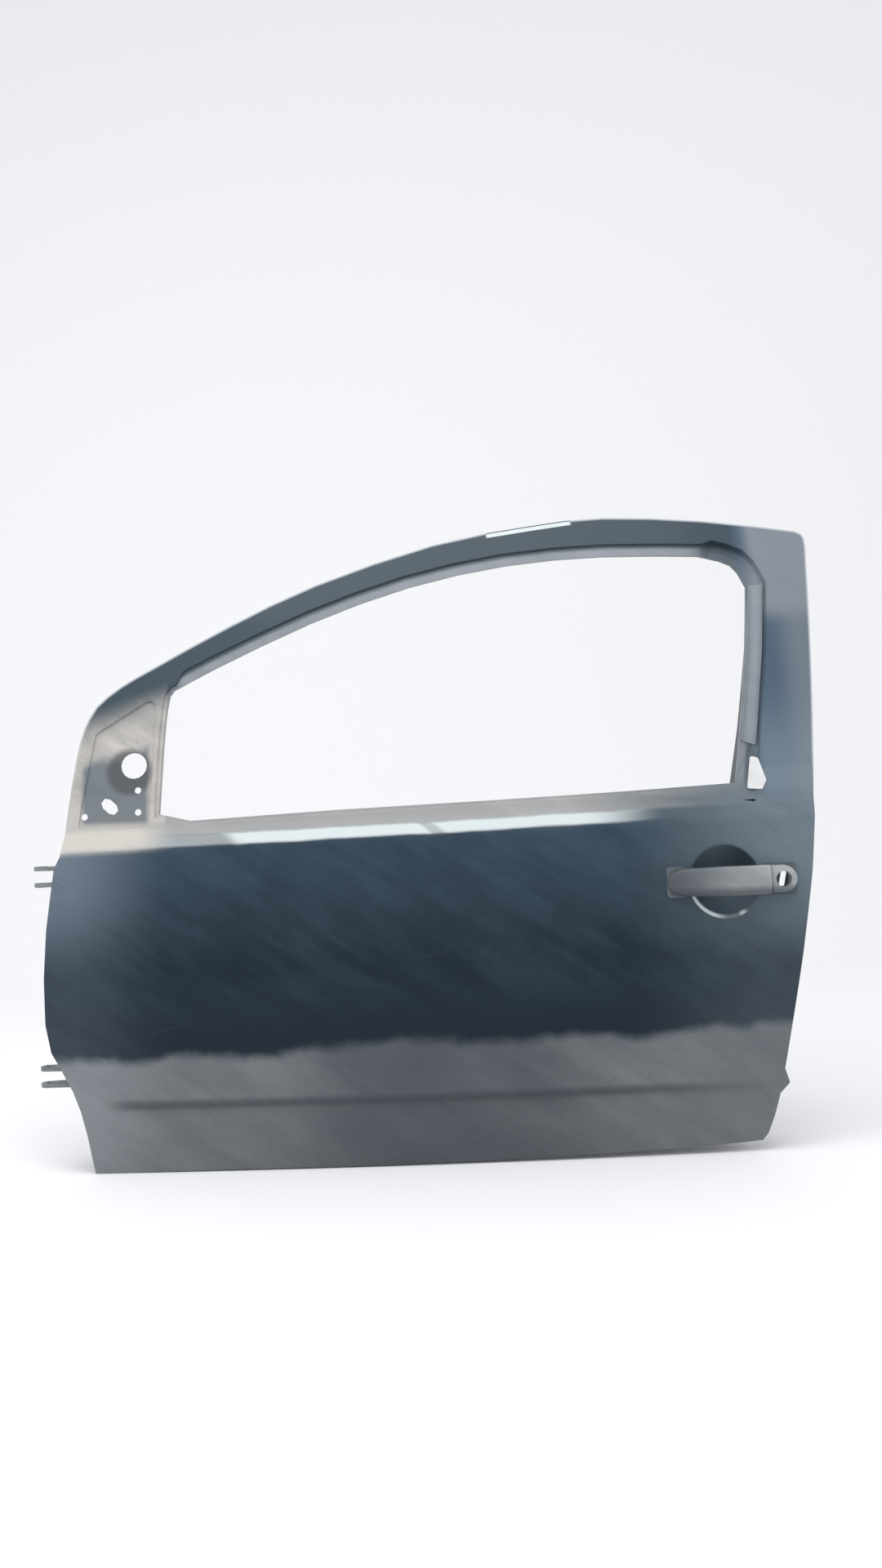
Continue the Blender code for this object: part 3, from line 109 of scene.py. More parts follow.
def new_material(name):
    """A material with its tree and its Principled shader."""
    made = bpy.data.materials.new(name)
    made.use_nodes = True
    return made, made.node_tree, made.node_tree.nodes["Principled BSDF"]


def linked_object(name, bm):
    mesh = bpy.data.meshes.new(name)
    bm.to_mesh(mesh)
    bm.free()
    made = bpy.data.objects.new(name, mesh)
    bpy.context.scene.collection.objects.link(made)
    return made


def floor_material():
    made, tree, shader = new_material("pale_floor")
    shader.inputs["Roughness"].default_value = 0.9
    shader.inputs["Specular IOR Level"].default_value = 0.1
    patches = put(tree, "ShaderNodeTexNoise", {"Scale": 1.4, "Detail": 3.0})
    pale = blend_colour(tree, patches.outputs["Fac"], floor_colour, floor_patches)
    tree.links.new(pale, shader.inputs["Base Color"])
    return made


def floor_and_backdrop():
    curve_y = backdrop_y - backdrop_radius
    profile = [(floor_front, floor_z), (curve_y, floor_z)]
    for i in range(1, backdrop_steps + 1):
        turn = math.pi / 2 * i / backdrop_steps
        profile.append((curve_y + backdrop_radius * math.sin(turn),
                        floor_z + backdrop_radius * (1 - math.cos(turn))))
    profile.append((backdrop_y, backdrop_top))
    bm = bmesh.new()
    ends = [[bm.verts.new((x, y, z)) for y, z in profile] for x in (floor_left, floor_right)]
    for i in range(len(profile) - 1):
        bm.faces.new([ends[0][i], ends[1][i], ends[1][i + 1], ends[0][i + 1]])
    sheet = linked_object("floor", bm)
    sheet.data.shade_smooth()
    sheet.data.materials.append(floor_material())


floor_and_backdrop()


# Light: a plain world, a wide soft lamp overhead and a weaker one from the left front
world_strength = 0.85
world_colour = (0.97, 0.98, 1.0, 1.0)
door_middle = (0.6, 0.0, 0.35)
lamps = {
    "overhead_lamp": {"place": (0.3, -0.9, 2.6), "size": (2.6, 1.2), "power": 34.0},
    "left_lamp": {"place": (-2.2, -1.8, 1.4), "size": (1.4, 1.4), "power": 12.0},
}


def studio_world():
    """The world lights the door with less than the white that is seen directly."""
    world = bpy.data.worlds.new("studio")
    bpy.context.scene.world = world
    world.use_nodes = True
    tree = world.node_tree
    sky = tree.nodes["Background"]
    sky.inputs["Color"].default_value = world_colour
    path = put(tree, "ShaderNodeLightPath")
    seen = path.outputs["Is Camera Ray"]
    for ray in ("Is Glossy Ray", "Is Transmission Ray"):
        seen = put(tree, "ShaderNodeMath", [seen, path.outputs[ray]], operation="MAXIMUM").outputs[0]
    level = put(tree, "ShaderNodeMapRange", {"Value": seen, "To Min": world_strength, "To Max": 1.0})
    tree.links.new(level.outputs[0], sky.inputs["Strength"])


def soft_lamp(name, place, size, power):
    data = bpy.data.lights.new(name, "AREA")
    data.shape = "RECTANGLE"
    data.size, data.size_y = size
    data.energy = power
    lamp = bpy.data.objects.new(name, data)
    bpy.context.scene.collection.objects.link(lamp)
    way = (Vector(door_middle) - Vector(place)).normalized()
    lamp.matrix_world = Matrix.Translation(place) @ way.to_track_quat("-Z", "Y").to_matrix().to_4x4()


studio_world()
for lamp_name, settings in lamps.items():
    soft_lamp(lamp_name, **settings)
bpy.context.scene.view_settings.view_transform = "Standard"


# Outer skin: one deep-drawn sheet of thin steel, painted dark blue. Its body side is curved
# both ways, and it turns over a shoulder below the window. The paint has gone dull and dusty.
# It is painted paler on the shoulder and round the mirror's seat, partly as dust and partly as
# a painted sky reflection, and paler along the sill.
box_digits = 6
door_length = 1.277
door_height = round(cad_high[2] - cad_low[2], box_digits)
front_edge_x = 0.009
bottom_edge_depth = round(-cad_low[2], box_digits)
pins_to_widest = 0.060
widest_x = 0.620
widest_z = 0.120
tumblehome_radius = 1.60
plan_radius = 9.0
shoulder_depth = 0.014
shoulder_softness = 0.14
shoulder_ends = [((0.021, 0.482), (0.964, 0.508)), ((0.025, 0.516), (0.967, 0.535))]
crease_height_share = 0.102
crease_end_share = 0.918
crease_end_setback = 0.017
crease_z = crease_height_share * door_height - bottom_edge_depth
crease_start = 0.110
crease_end = front_edge_x + crease_end_share * door_length - crease_end_setback
crease_fade = 0.060
crease_height = 0.004
crease_half = 0.004
crease_blend = 0.040
groove_depth = 0.003
fold_offset = 0.006
fold_width = 0.005
ridge_tail = 0.016
groove_tail = 0.014
cup_x = 1.089
cup_z = 0.280
cup_radius = 0.057
cup_depth = 0.024
cup_lip = 0.007
lip_softness = 0.1
same_point = 1e-6
split_rounds = 9
plain_edge = 0.0216
fold_edge = 0.00924
cup_edge = 0.0042
shoulder_margin = 0.012
crease_margin = 0.026
cup_margin = 0.010
fold_angle = math.radians(9)
front_facing = 0.9
side_facing = 0.1
hem_inside = (0.0005, 0.0029)
rim_step = 0.002


def clamp(value, low=0.0, high=1.0):
    return max(low, min(high, value))


def ease(value):
    value = clamp(value)
    return value * value * (3 - 2 * value)


def shoulder_line(which, x):
    """The height of the shoulder's foot, for 0, or of its top, for 1. Both are straight
    lines, whose ends are shares of the door's length and height."""
    (x1, z1), (x2, z2) = [
        (front_edge_x + u * door_length, v * door_height - bottom_edge_depth)
        for u, v in shoulder_ends[which]
    ]
    return z1 + (z2 - z1) * (x - x1) / (x2 - x1)


def bow(x, z):
    return (
        (z - widest_z) ** 2 / (2 * tumblehome_radius)
        + (x - widest_x) ** 2 / (2 * plan_radius)
        - pins_to_widest
    )


def crease_share(x):
    return clamp(min(x - crease_start, crease_end - x) / crease_fade)


def plain_y(x, z):
    """The body side as flat facets have it, with straight-sided folds."""
    share = (z - shoulder_line(0, x)) / (shoulder_line(1, x) - shoulder_line(0, x))
    y = bow(x, z) + shoulder_depth * clamp(share)
    level = z - crease_z
    profile = [(-crease_blend, 0.0), (-crease_half, groove_depth), (crease_half, -crease_height),
               (crease_blend, 0.0)]
    for (a, low), (b, high) in zip(profile, profile[1:]):
        if a <= level < b:
            y += crease_share(x) * (low + (high - low) * (level - a) / (b - a))
    reach = math.hypot(x - cup_x, z - cup_z) / cup_radius
    return y + cup_depth * (1 - reach**2) if reach < 1 else y


def round_step(value, soft):
    """Nought below nought and one above one, with both bends rounded."""
    def bend(t):
        return 0.5 * (t + math.sqrt(t * t + soft * soft))

    return bend(value) - bend(value - 1.0)


def lopsided(distance, tail):
    """One at nought, with a steep side below it and a long tail above it."""
    return math.exp(-distance / tail) if distance > 0 else math.exp(-((distance / fold_width) ** 2))


def true_y(x, z):
    """The body side with its folds rounded as the press leaves them."""
    share = (z - shoulder_line(0, x)) / (shoulder_line(1, x) - shoulder_line(0, x))
    y = bow(x, z) + shoulder_depth * round_step(share, shoulder_softness)
    level = z - crease_z
    ridge = lopsided(level - fold_offset, ridge_tail)
    groove = lopsided(-level - fold_offset, groove_tail)
    y += ease(crease_share(x)) * (groove_depth * groove - crease_height * ridge)
    reach = math.hypot(x - cup_x, z - cup_z)
    if reach >= cup_radius + cup_lip:
        return y
    dish = cup_depth * (1 - (reach / cup_radius) ** 2)
    return y + 0.5 * (dish + math.sqrt(dish * dish + (lip_softness * cup_lip) ** 2))


def split_long(bm, wanted):
    """Splits edges until none is longer than the length wanted at its middle."""
    for _ in range(split_rounds):
        long_edges = [e for e in bm.edges if e.calc_length() > wanted((e.verts[0].co + e.verts[1].co) / 2)]
        if not long_edges:
            break
        bmesh.ops.subdivide_edges(bm, edges=long_edges, cuts=1)
        bmesh.ops.triangulate(bm, faces=[f for f in bm.faces if len(f.verts) > 3])


def near_fold(place):
    """The longest edge that the skin may have at a place."""
    foot, top = shoulder_line(0, place.x), shoulder_line(1, place.x)
    on_shoulder = foot - shoulder_margin < place.z < top + shoulder_margin
    if on_shoulder or abs(place.z - crease_z) < crease_margin:
        return fold_edge
    in_cup = math.hypot(place.x - cup_x, place.z - cup_z) < cup_radius + cup_margin
    return cup_edge if in_cup else plain_edge


def outer_rims(bm):
    """A search tree of places along the flat sheet's rims: the edges where its front face
    ends at a wall. The inside of the hem is left out."""
    rims = []
    for edge in bm.edges:
        facing = sorted(face.normal.y for face in edge.link_faces)
        in_hem = hem_inside[0] < edge.verts[0].co.y < hem_inside[1]
        if facing[0] < -front_facing < -side_facing < facing[-1] and not in_hem:
            near, far = (vert.co.xz for vert in edge.verts)
            count = 1 + int((far - near).length / rim_step)
            rims.extend(near.lerp(far, k / count) for k in range(count + 1))
    tree = KDTree(len(rims))
    for i, place in enumerate(rims):
        tree.insert((*place, 0.0), i)
    tree.balance()
    return tree


def refined(node, wanted, surface):
    """A copy of a node's mesh, cut finer and laid on the rounded surface. It is laid flat
    first, so that only the folds of its recesses are marked sharp. For the paint it keeps
    how far each point is pressed back and how near an edge of the sheet it is."""
    bm = bmesh.new()
    bm.from_mesh(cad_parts[node].data)
    bmesh.ops.remove_doubles(bm, verts=bm.verts, dist=same_point)
    for vert in bm.verts:
        vert.co.y -= plain_y(vert.co.x, vert.co.z)
    split_long(bm, wanted)
    bm.normal_update()
    for edge in bm.edges:
        edge.smooth = len(edge.link_faces) == 2 and edge.calc_face_angle() < fold_angle
    rims = outer_rims(bm)
    recess = bm.verts.layers.float.new("recess")
    rim = bm.verts.layers.float.new("rim")
    for vert in bm.verts:
        vert[recess] = vert.co.y
        vert[rim] = rims.find((*vert.co.xz, 0.0))[2]
        vert.co.y += surface(vert.co.x, vert.co.z)
    for face in bm.faces:
        face.smooth = True
    return linked_object(node + "_look", bm)


def dress(piece, body, nodes, material):
    piece.data.materials.clear()
    piece.data.materials.append(material)
    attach(piece, body)
    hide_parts(*nodes)
    return piece


def new_group(name, inputs, outputs):
    """A shader node group with its sockets: names with a kind and a first value."""
    group = bpy.data.node_groups.new(name, "ShaderNodeTree")
    for socket, kind, value in inputs:
        made = group.interface.new_socket(socket, in_out="INPUT", socket_type="NodeSocket" + kind)
        if value is not None:
            made.default_value = value
    for socket, kind in outputs:
        group.interface.new_socket(socket, in_out="OUTPUT", socket_type="NodeSocket" + kind)
    source = group.nodes.new("NodeGroupInput")
    sink = group.nodes.new("NodeGroupOutput")
    return group, source, sink


def times(tree, *values):
    result = values[0]
    for value in values[1:]:
        result = put(tree, "ShaderNodeMath", [result, value], operation="MULTIPLY").outputs[0]
    return result


def plus(tree, *values):
    result = values[0]
    for value in values[1:]:
        result = put(tree, "ShaderNodeMath", [result, value], operation="ADD").outputs[0]
    return result


def scaled(tree, value, gain_and_base):
    """The value times a gain, plus a base."""
    return put(tree, "ShaderNodeMath", [value, *gain_and_base], operation="MULTIPLY_ADD").outputs[0]


def fade(tree, value, span):
    """Nought at the span's first place and one at its second, eased. A span of four places
    also falls from one at its third to nought at its last."""
    made = put(tree, "ShaderNodeMapRange", {"Value": value, "From Min": span[0], "From Max": span[1]},
               interpolation_type="SMOOTHSTEP").outputs[0]
    return times(tree, made, fade(tree, value, (span[3], span[2]))) if len(span) == 4 else made


def mapped(tree, value, source, target):
    """The value on one range carried over in proportion to another."""
    return put(tree, "ShaderNodeMapRange", {"Value": value, "From Min": source[0], "From Max": source[1],
                                            "To Min": target[0], "To Max": target[1]}).outputs[0]


def laid(tree, colour, above, *masks):
    """The colour with another laid over it where all the masks are one."""
    return blend_colour(tree, times(tree, *masks), colour, above)


def turned_about_y(tree, place, degrees):
    return put(tree, "ShaderNodeVectorRotate", {"Vector": place, "Angle": math.radians(degrees)},
               rotation_type="Y_AXIS").outputs[0]


def dust_film_group():
    """Patchy dust: broad clouds, slanting wipe marks and fine specks."""
    group, source, sink = new_group(
        "dust_film",
        [("Vector", "Vector", None), ("Amount", "Float", 0.5), ("Cloud Scale", "Float", 6.0)],
        [("Mask", "Float"), ("Height", "Float")],
    )
    place = source.outputs["Vector"]
    clouds = put(group, "ShaderNodeTexNoise", {"Vector": place, "Scale": source.outputs["Cloud Scale"],
                                               "Detail": 6.0, "Roughness": 0.62}).outputs["Fac"]
    drawn = put(group, "ShaderNodeMapping", {"Vector": turned_about_y(group, place, -33),
                                             "Scale": (2.2, 6.0, 13.0)})
    wipes = put(group, "ShaderNodeTexNoise", {"Vector": drawn.outputs[0], "Scale": 2.2, "Detail": 5.0,
                                              "Roughness": 0.6}).outputs["Fac"]
    specks = put(group, "ShaderNodeTexNoise", {"Vector": place, "Scale": 420.0, "Detail": 2.0}).outputs["Fac"]
    shaped = mapped(group, times(group, clouds, wipes), (0.13, 0.42), (0.35, 1.25))
    fine = mapped(group, specks, (0.3, 0.75), (0.82, 1.1))
    mask = put(group, "ShaderNodeMath", [times(group, shaped, fine), source.outputs["Amount"]],
               operation="MULTIPLY", use_clamp=True)
    group.links.new(mask.outputs[0], sink.inputs["Mask"])
    group.links.new(specks, sink.inputs["Height"])
    return group


def scratches_group():
    """Long thin scratches in two directions, as a mask."""
    group, source, sink = new_group("scratches", [("Vector", "Vector", None)], [("Mask", "Float")])
    place = source.outputs["Vector"]
    found = []
    for degrees, seed in ((12, 0.0), (-41, 3.7)):
        drawn = put(group, "ShaderNodeMapping", {"Vector": turned_about_y(group, place, degrees),
                                                 "Location": (seed, seed, seed), "Scale": (2.0, 2.0, 260.0)})
        lines = put(group, "ShaderNodeTexNoise", {"Vector": drawn.outputs[0], "Scale": 1.0, "Detail": 1.0})
        where = put(group, "ShaderNodeTexNoise", {"Vector": place, "Scale": 5.0 + seed})
        thin = mapped(group, lines.outputs["Fac"], (0.76, 0.80), (0.0, 1.0))
        some = mapped(group, where.outputs["Fac"], (0.50, 0.62), (0.0, 1.0))
        found.append(times(group, thin, some))
    both = put(group, "ShaderNodeMath", found, operation="MAXIMUM")
    group.links.new(both.outputs[0], sink.inputs["Mask"])
    return group


dust_film = dust_film_group()
scratches = scratches_group()


# The skin's paint: what a place on the door is found by, and where each zone begins and is
# full, in metres or as shares of the dust. A gain and a base say how much a mask counts.
film_amount = 0.9
film_clouds = 4.0
wave_scale = 9.0
wave_range = (0.3, 0.7)
wave_height = (-0.012, 0.012)
wave_on_shoulder = 0.12


def found_on_skin(tree, place):
    """The measures that the zones of the paint read: where a point lies, how dusty it is,
    how far it is pressed back, how near a rim and how high over the shoulder's foot."""
    split = put(tree, "ShaderNodeSeparateXYZ", [place])
    x, z = split.outputs["X"], split.outputs["Z"]
    film = put(tree, "ShaderNodeGroup", {"Vector": place, "Amount": film_amount, "Cloud Scale": film_clouds},
               node_tree=dust_film)
    noise = put(tree, "ShaderNodeTexNoise", {"Vector": place, "Scale": wave_scale, "Detail": 5.0})
    wave = mapped(tree, noise.outputs["Fac"], wave_range, wave_height)
    foot = shoulder_line(0, 0.0)
    slope = shoulder_line(0, 1.0) - foot
    over_foot = plus(tree, z, scaled(tree, x, (-slope, -foot)), times(tree, wave, wave_on_shoulder))
    recess, rim = [put(tree, "ShaderNodeAttribute", attribute_name=name).outputs["Fac"]
                   for name in ("recess", "rim")]
    return SimpleNamespace(place=place, x=x, z=z, dusty=film.outputs["Mask"], specks=film.outputs["Height"],
                           wave=wave, over_foot=over_foot, recess=recess, rim=rim)


# Body: darkest in the middle, with a pale haze that thickens upwards and to both sides, partly dust and
# partly a painted sky reflection
navy = (0.005, 0.014, 0.025)
navy_haze = (0.031, 0.056, 0.082)
front_haze = (0.135, 0.168, 0.208)
rear_haze = (0.145, 0.182, 0.212)
haze_climb = (0.15, 0.36)
haze_patches = (0.9, 0.25)
front_across = (0.22, 0.02)
front_climb = (0.15, 0.33)
front_climb_share = (0.8, 0.2)
front_patches = (1.0, 0.45)
rear_across = (0.91, 1.24)
rear_climb = (0.12, 0.34)
rear_climb_share = (0.75, 0.25)
rear_patches = (1.0, 0.5)
smudge_dust = (0.38, 0.95)
smudge_climb = (0.06, 0.16)
smudge_amount = 0.35


def body_haze(tree, at):
    colour = laid(tree, navy, navy_haze, fade(tree, at.z, haze_climb), scaled(tree, at.dusty, haze_patches))
    colour = laid(tree, colour, front_haze, fade(tree, at.x, front_across),
                  scaled(tree, fade(tree, at.z, front_climb), front_climb_share),
                  scaled(tree, at.dusty, front_patches))
    colour = laid(tree, colour, rear_haze, fade(tree, at.x, rear_across),
                  scaled(tree, fade(tree, at.z, rear_climb), rear_climb_share),
                  scaled(tree, at.dusty, rear_patches))
    return laid(tree, colour, navy_haze, fade(tree, at.dusty, smudge_dust), fade(tree, at.z, smudge_climb),
                smudge_amount)


# Sill: paler towards the bottom, with a ragged upper edge and thinner in the middle, and painted shade in the
# pressed line under its ridge
sill_grey = (0.162, 0.175, 0.188)
sill_pale = (0.27, 0.285, 0.305)
groove_shade = (0.050, 0.060, 0.070)
sill_slope = -0.012
sill_climb = (0.046, 0.022)
sill_middle = (0.30, 0.55, 0.74, 0.98)
sill_middle_share = (-0.42, 1.0)
sill_patches = (0.5, 0.55)
pale_across = (0.22, 0.06)
pale_amount = 0.6
groove_climb = (-0.056, -0.044, -0.040, -0.030)
groove_across = (0.09, 0.14, 0.90, 1.16)
groove_amount = 0.6


def sill_band(tree, colour, at):
    edge = plus(tree, at.z, at.wave, times(tree, at.x, sill_slope))
    sill_band_mask = times(tree, fade(tree, edge, sill_climb),
                    scaled(tree, fade(tree, at.x, sill_middle), sill_middle_share),
                    scaled(tree, at.dusty, sill_patches))
    colour = laid(tree, colour, sill_grey, sill_band_mask)
    colour = laid(tree, colour, sill_pale, sill_band_mask, fade(tree, at.x, pale_across), pale_amount)
    # Painted shade: the pressed line is darkened where the ridge overhangs it.
    colour = laid(tree, colour, groove_shade, fade(tree, at.z, groove_climb), fade(tree, at.x, groove_across),
                  groove_amount)
    return colour, sill_band_mask


# Window surround: dark bands, a dusty inner step with painted shade in its rear top corner, a rear
# pillar pale at its top, a painted highlight along the sheet's thin edge and a bright strip at the roof's
# highest stretch
band_navy = (0.042, 0.062, 0.080)
step_grey = (0.245, 0.265, 0.290)
pillar_top = (0.195, 0.218, 0.250)
pillar_navy = (0.062, 0.098, 0.140)
pillar_low = (0.135, 0.185, 0.230)
rim_highlight = (0.52, 0.55, 0.58)
bright_highlight_and_chalk = (0.60, 0.65, 0.66)
surround_climb = (0.400, 0.470)
pillar_across = (1.150, 1.172)
pillar_climb = (0.385, 0.43)
pillar_low_climb = (0.62, 0.45)
pillar_top_across = (1.165, 1.195)
pillar_top_climb = (0.690, 0.735)
pillar_top_patches = (0.4, 0.7)
pillar_edge_across = (1.195, 1.250)
pillar_edge_amount = 0.55
step_recess = (0.0018, 0.0042)
step_patches = (0.4, 0.6)
step_from_rim = (0.016, 0.009)
step_rim_share = (0.75, 0.25)
shaded_across = (1.070, 1.115)
shaded_climb = (0.700, 0.770)
shaded_share = (-0.75, 1.0)
edge_from_rim = (0.0042, 0.0010)
edge_climb = (0.42, 0.50)
edge_amount = 0.75
unpressed = (0.003, 0.001)
strip_across = (0.735, 0.741, 0.880, 0.886)
strip_climb = (0.840, 0.850)
strip_border = (0.0115, 0.0095)
strip_from_rim = (0.0014, 0.0022, 0.0080, 0.0095)


def window_surround(tree, colour, at):
    surround = fade(tree, at.z, surround_climb)
    colour = laid(tree, colour, band_navy, surround)
    pillar = times(tree, fade(tree, at.x, pillar_across), fade(tree, at.z, pillar_climb))
    colour = laid(tree, colour, pillar_navy, pillar)
    colour = laid(tree, colour, pillar_low, pillar, fade(tree, at.z, pillar_low_climb))
    colour = laid(tree, colour, pillar_top, fade(tree, at.x, pillar_top_across),
                  fade(tree, at.z, pillar_top_climb), scaled(tree, at.dusty, pillar_top_patches))
    colour = laid(tree, colour, pillar_top, pillar, fade(tree, at.x, pillar_edge_across), pillar_edge_amount)
    # Painted shade: the step is darker in the rear top corner of the window.
    shaded = times(tree, fade(tree, at.x, shaded_across), fade(tree, at.z, shaded_climb))
    colour = laid(tree, colour, step_grey, fade(tree, at.recess, step_recess), surround,
                  scaled(tree, at.dusty, step_patches),
                  scaled(tree, fade(tree, at.rim, step_from_rim), step_rim_share),
                  scaled(tree, shaded, shaded_share))
    flat = fade(tree, at.recess, unpressed)
    # Painted highlight: a thin pale line along the rims of the sheet above the belt.
    colour = laid(tree, colour, rim_highlight, fade(tree, at.rim, edge_from_rim), fade(tree, at.z, edge_climb),
                  flat, edge_amount)
    strip = times(tree, fade(tree, at.x, strip_across), fade(tree, at.z, strip_climb), flat)
    colour = laid(tree, colour, band_navy, strip, fade(tree, at.rim, strip_border))
    return laid(tree, colour, bright_highlight_and_chalk, strip, fade(tree, at.rim, strip_from_rim))


# Shoulder: a pale slope that climbs a little to the rear, partly chalky dust and partly a painted
# sky reflection on the up-facing slope. It is brightest in its middle, with a short scar, dull to the rear,
# and warm at the front corner.
dull_chalk_and_reflection = (0.33, 0.36, 0.375)
rail_grey = (0.385, 0.385, 0.38)
warm_chalk_and_reflection = (0.58, 0.545, 0.495)
chalk_patches = (0.25, 0.75)
rail_over_foot = (0.018, 0.026, 0.070, 0.085)
rail_across = (1.15, 0.80)
rail_share = (0.88, 0.08)
slab_over_foot = (0.003, 0.009, 0.020, 0.026)
slab_across = (1.06, 0.70)
slab_share = (0.95, 0.05)
seam_slant = 1.4
seam_waver = 0.8
silver_front = (0.315, 0.350)
silver_rear = (1.00, 0.86)
scar_along = (0.640, 0.652, 0.664, 0.676)
scar_share = (-0.7, 1.0)
corner_across = (0.225, 0.150)
corner_over_foot = (-0.004, 0.014, 0.032, 0.050)
corner_patches = (0.45, 0.55)


def shoulder_dust_and_reflection(tree, colour, at):
    chalky = scaled(tree, at.dusty, chalk_patches)
    rail = times(tree, fade(tree, at.over_foot, rail_over_foot), chalky,
                 scaled(tree, fade(tree, at.x, rail_across), rail_share))
    colour = laid(tree, colour, rail_grey, rail)
    slab = fade(tree, at.over_foot, slab_over_foot)
    colour = laid(tree, colour, dull_chalk_and_reflection, slab, chalky,
                  scaled(tree, fade(tree, at.x, slab_across), slab_share))
    seam = plus(tree, at.x, times(tree, at.over_foot, seam_slant), times(tree, at.wave, seam_waver))
    colour = laid(tree, colour, bright_highlight_and_chalk, slab, fade(tree, seam, silver_front),
                  fade(tree, at.x, silver_rear), scaled(tree, fade(tree, seam, scar_along), scar_share))
    colour = laid(tree, colour, warm_chalk_and_reflection, fade(tree, at.x, corner_across),
                  fade(tree, at.over_foot, corner_over_foot), scaled(tree, at.dusty, corner_patches))
    return colour, plus(tree, slab, rail)


# Mirror's seat: pale, partly dust and partly a painted sky reflection; darker over its lower part and round
# its large hole
sail_pink = (0.50, 0.475, 0.445)
sail_blue = (0.115, 0.142, 0.163)
sail_dark = (0.075, 0.082, 0.090)
sail_across = (0.206, 0.200)
sail_over_foot = (0.036, 0.050)
sail_slant = -0.35
sail_climb = (0.565, 0.500)
sail_patches = (0.75, 0.30)
seat_across = (0.062, 0.074, 0.168, 0.180)
seat_low = (0.395, 0.408)
seat_slant = -0.3
seat_high = (0.478, 0.455)
seat_amount = 0.85
ring_middle = (0.144, 0.0, 0.484)
ring_reach = (0.044, 0.030)
ring_amount = 0.8


def side_view(tree, at):
    """The place with no depth, so that distances are those seen from the side."""
    return put(tree, "ShaderNodeCombineXYZ", [at.x, 0.0, at.z]).outputs[0]


def mirror_seat(tree, colour, at):
    sail = times(tree, fade(tree, at.x, sail_across), fade(tree, at.over_foot, sail_over_foot),
                 fade(tree, plus(tree, at.z, times(tree, at.x, sail_slant)), sail_climb))
    colour = laid(tree, colour, sail_pink, sail, scaled(tree, at.dusty, sail_patches))
    upper_edge = plus(tree, at.z, at.wave, times(tree, at.x, seat_slant))
    colour = laid(tree, colour, sail_blue, fade(tree, at.x, seat_across), fade(tree, at.z, seat_low),
                  fade(tree, upper_edge, seat_high), seat_amount)
    ring = put(tree, "ShaderNodeVectorMath", [side_view(tree, at), ring_middle], operation="DISTANCE")
    colour = laid(tree, colour, sail_dark, fade(tree, ring.outputs["Value"], ring_reach), ring_amount)
    return colour, sail


# Handle's cup: painted shade under its upper rim, deeper to the rear, and a bright arc along the lower rim
# that is a painted highlight, with a painted glint towards the rear
cup_shade = (0.022, 0.030, 0.038)
shade_reach = (0.058, 0.054)
shade_climb = (0.288, 0.306)
shade_to_rear = (-0.020, 0.034)
shade_rear_share = (0.6, 0.4)
shade_amount = 0.9
arc_towards = (-0.34, 0.0, -0.94)
arc_height = (0.030, 0.040)
arc_reach = (0.0525, 0.0550, 0.0580, 0.0605)
arc_bright_side = (0.004, -0.024)
arc_bright_share = (0.85, 0.15)
glint_along = (0.018, 0.023, 0.029, 0.034)
glint_amount = 0.6


def handle_cup(tree, colour, at):
    from_cup = put(tree, "ShaderNodeVectorMath", [side_view(tree, at), (cup_x, 0.0, cup_z)],
                   operation="SUBTRACT").outputs[0]
    reach = put(tree, "ShaderNodeVectorMath", [from_cup], operation="LENGTH").outputs["Value"]
    to_rear = plus(tree, at.x, -cup_x)
    colour = laid(tree, colour, cup_shade, fade(tree, reach, shade_reach), fade(tree, at.z, shade_climb),
                  scaled(tree, fade(tree, to_rear, shade_to_rear), shade_rear_share), shade_amount)
    height = put(tree, "ShaderNodeVectorMath", [from_cup, arc_towards], operation="DOT_PRODUCT")
    # The bright arc is a painted highlight, strongest towards the front, with a painted glint towards the
    # rear; here worn holds its strength.
    bright_side = scaled(tree, fade(tree, to_rear, arc_bright_side), arc_bright_share)
    worn = plus(tree, bright_side, times(tree, fade(tree, to_rear, glint_along), glint_amount))
    return laid(tree, colour, bright_highlight_and_chalk, fade(tree, reach, arc_reach),
                fade(tree, height.outputs["Value"], arc_height), worn)


# The whole skin: scratches over its outer paint, and on every face that is turned to the
# cabin only the dip coat with a thin veil of dust. The pale zones of sill, shoulder and mirror's seat are
# dull, dusty places a little, and the rest has a sheen.
scratch_grey = (0.5, 0.52, 0.54)
scratch_amount = 0.05
inner_navy = (0.016, 0.026, 0.038)
inner_dust = (0.115, 0.125, 0.132)
cabin_facing = (0.20, 0.30)
veil_amount = 0.6
clean_to_dusty_roughness = (0.34, 0.65)
clean_to_dusty_coat = (0.10, 0.0)
dust_roughness = 0.12
paint_specular = 0.14
coat_roughness = 0.10
peel_scale = 260.0
relief_share = 0.5


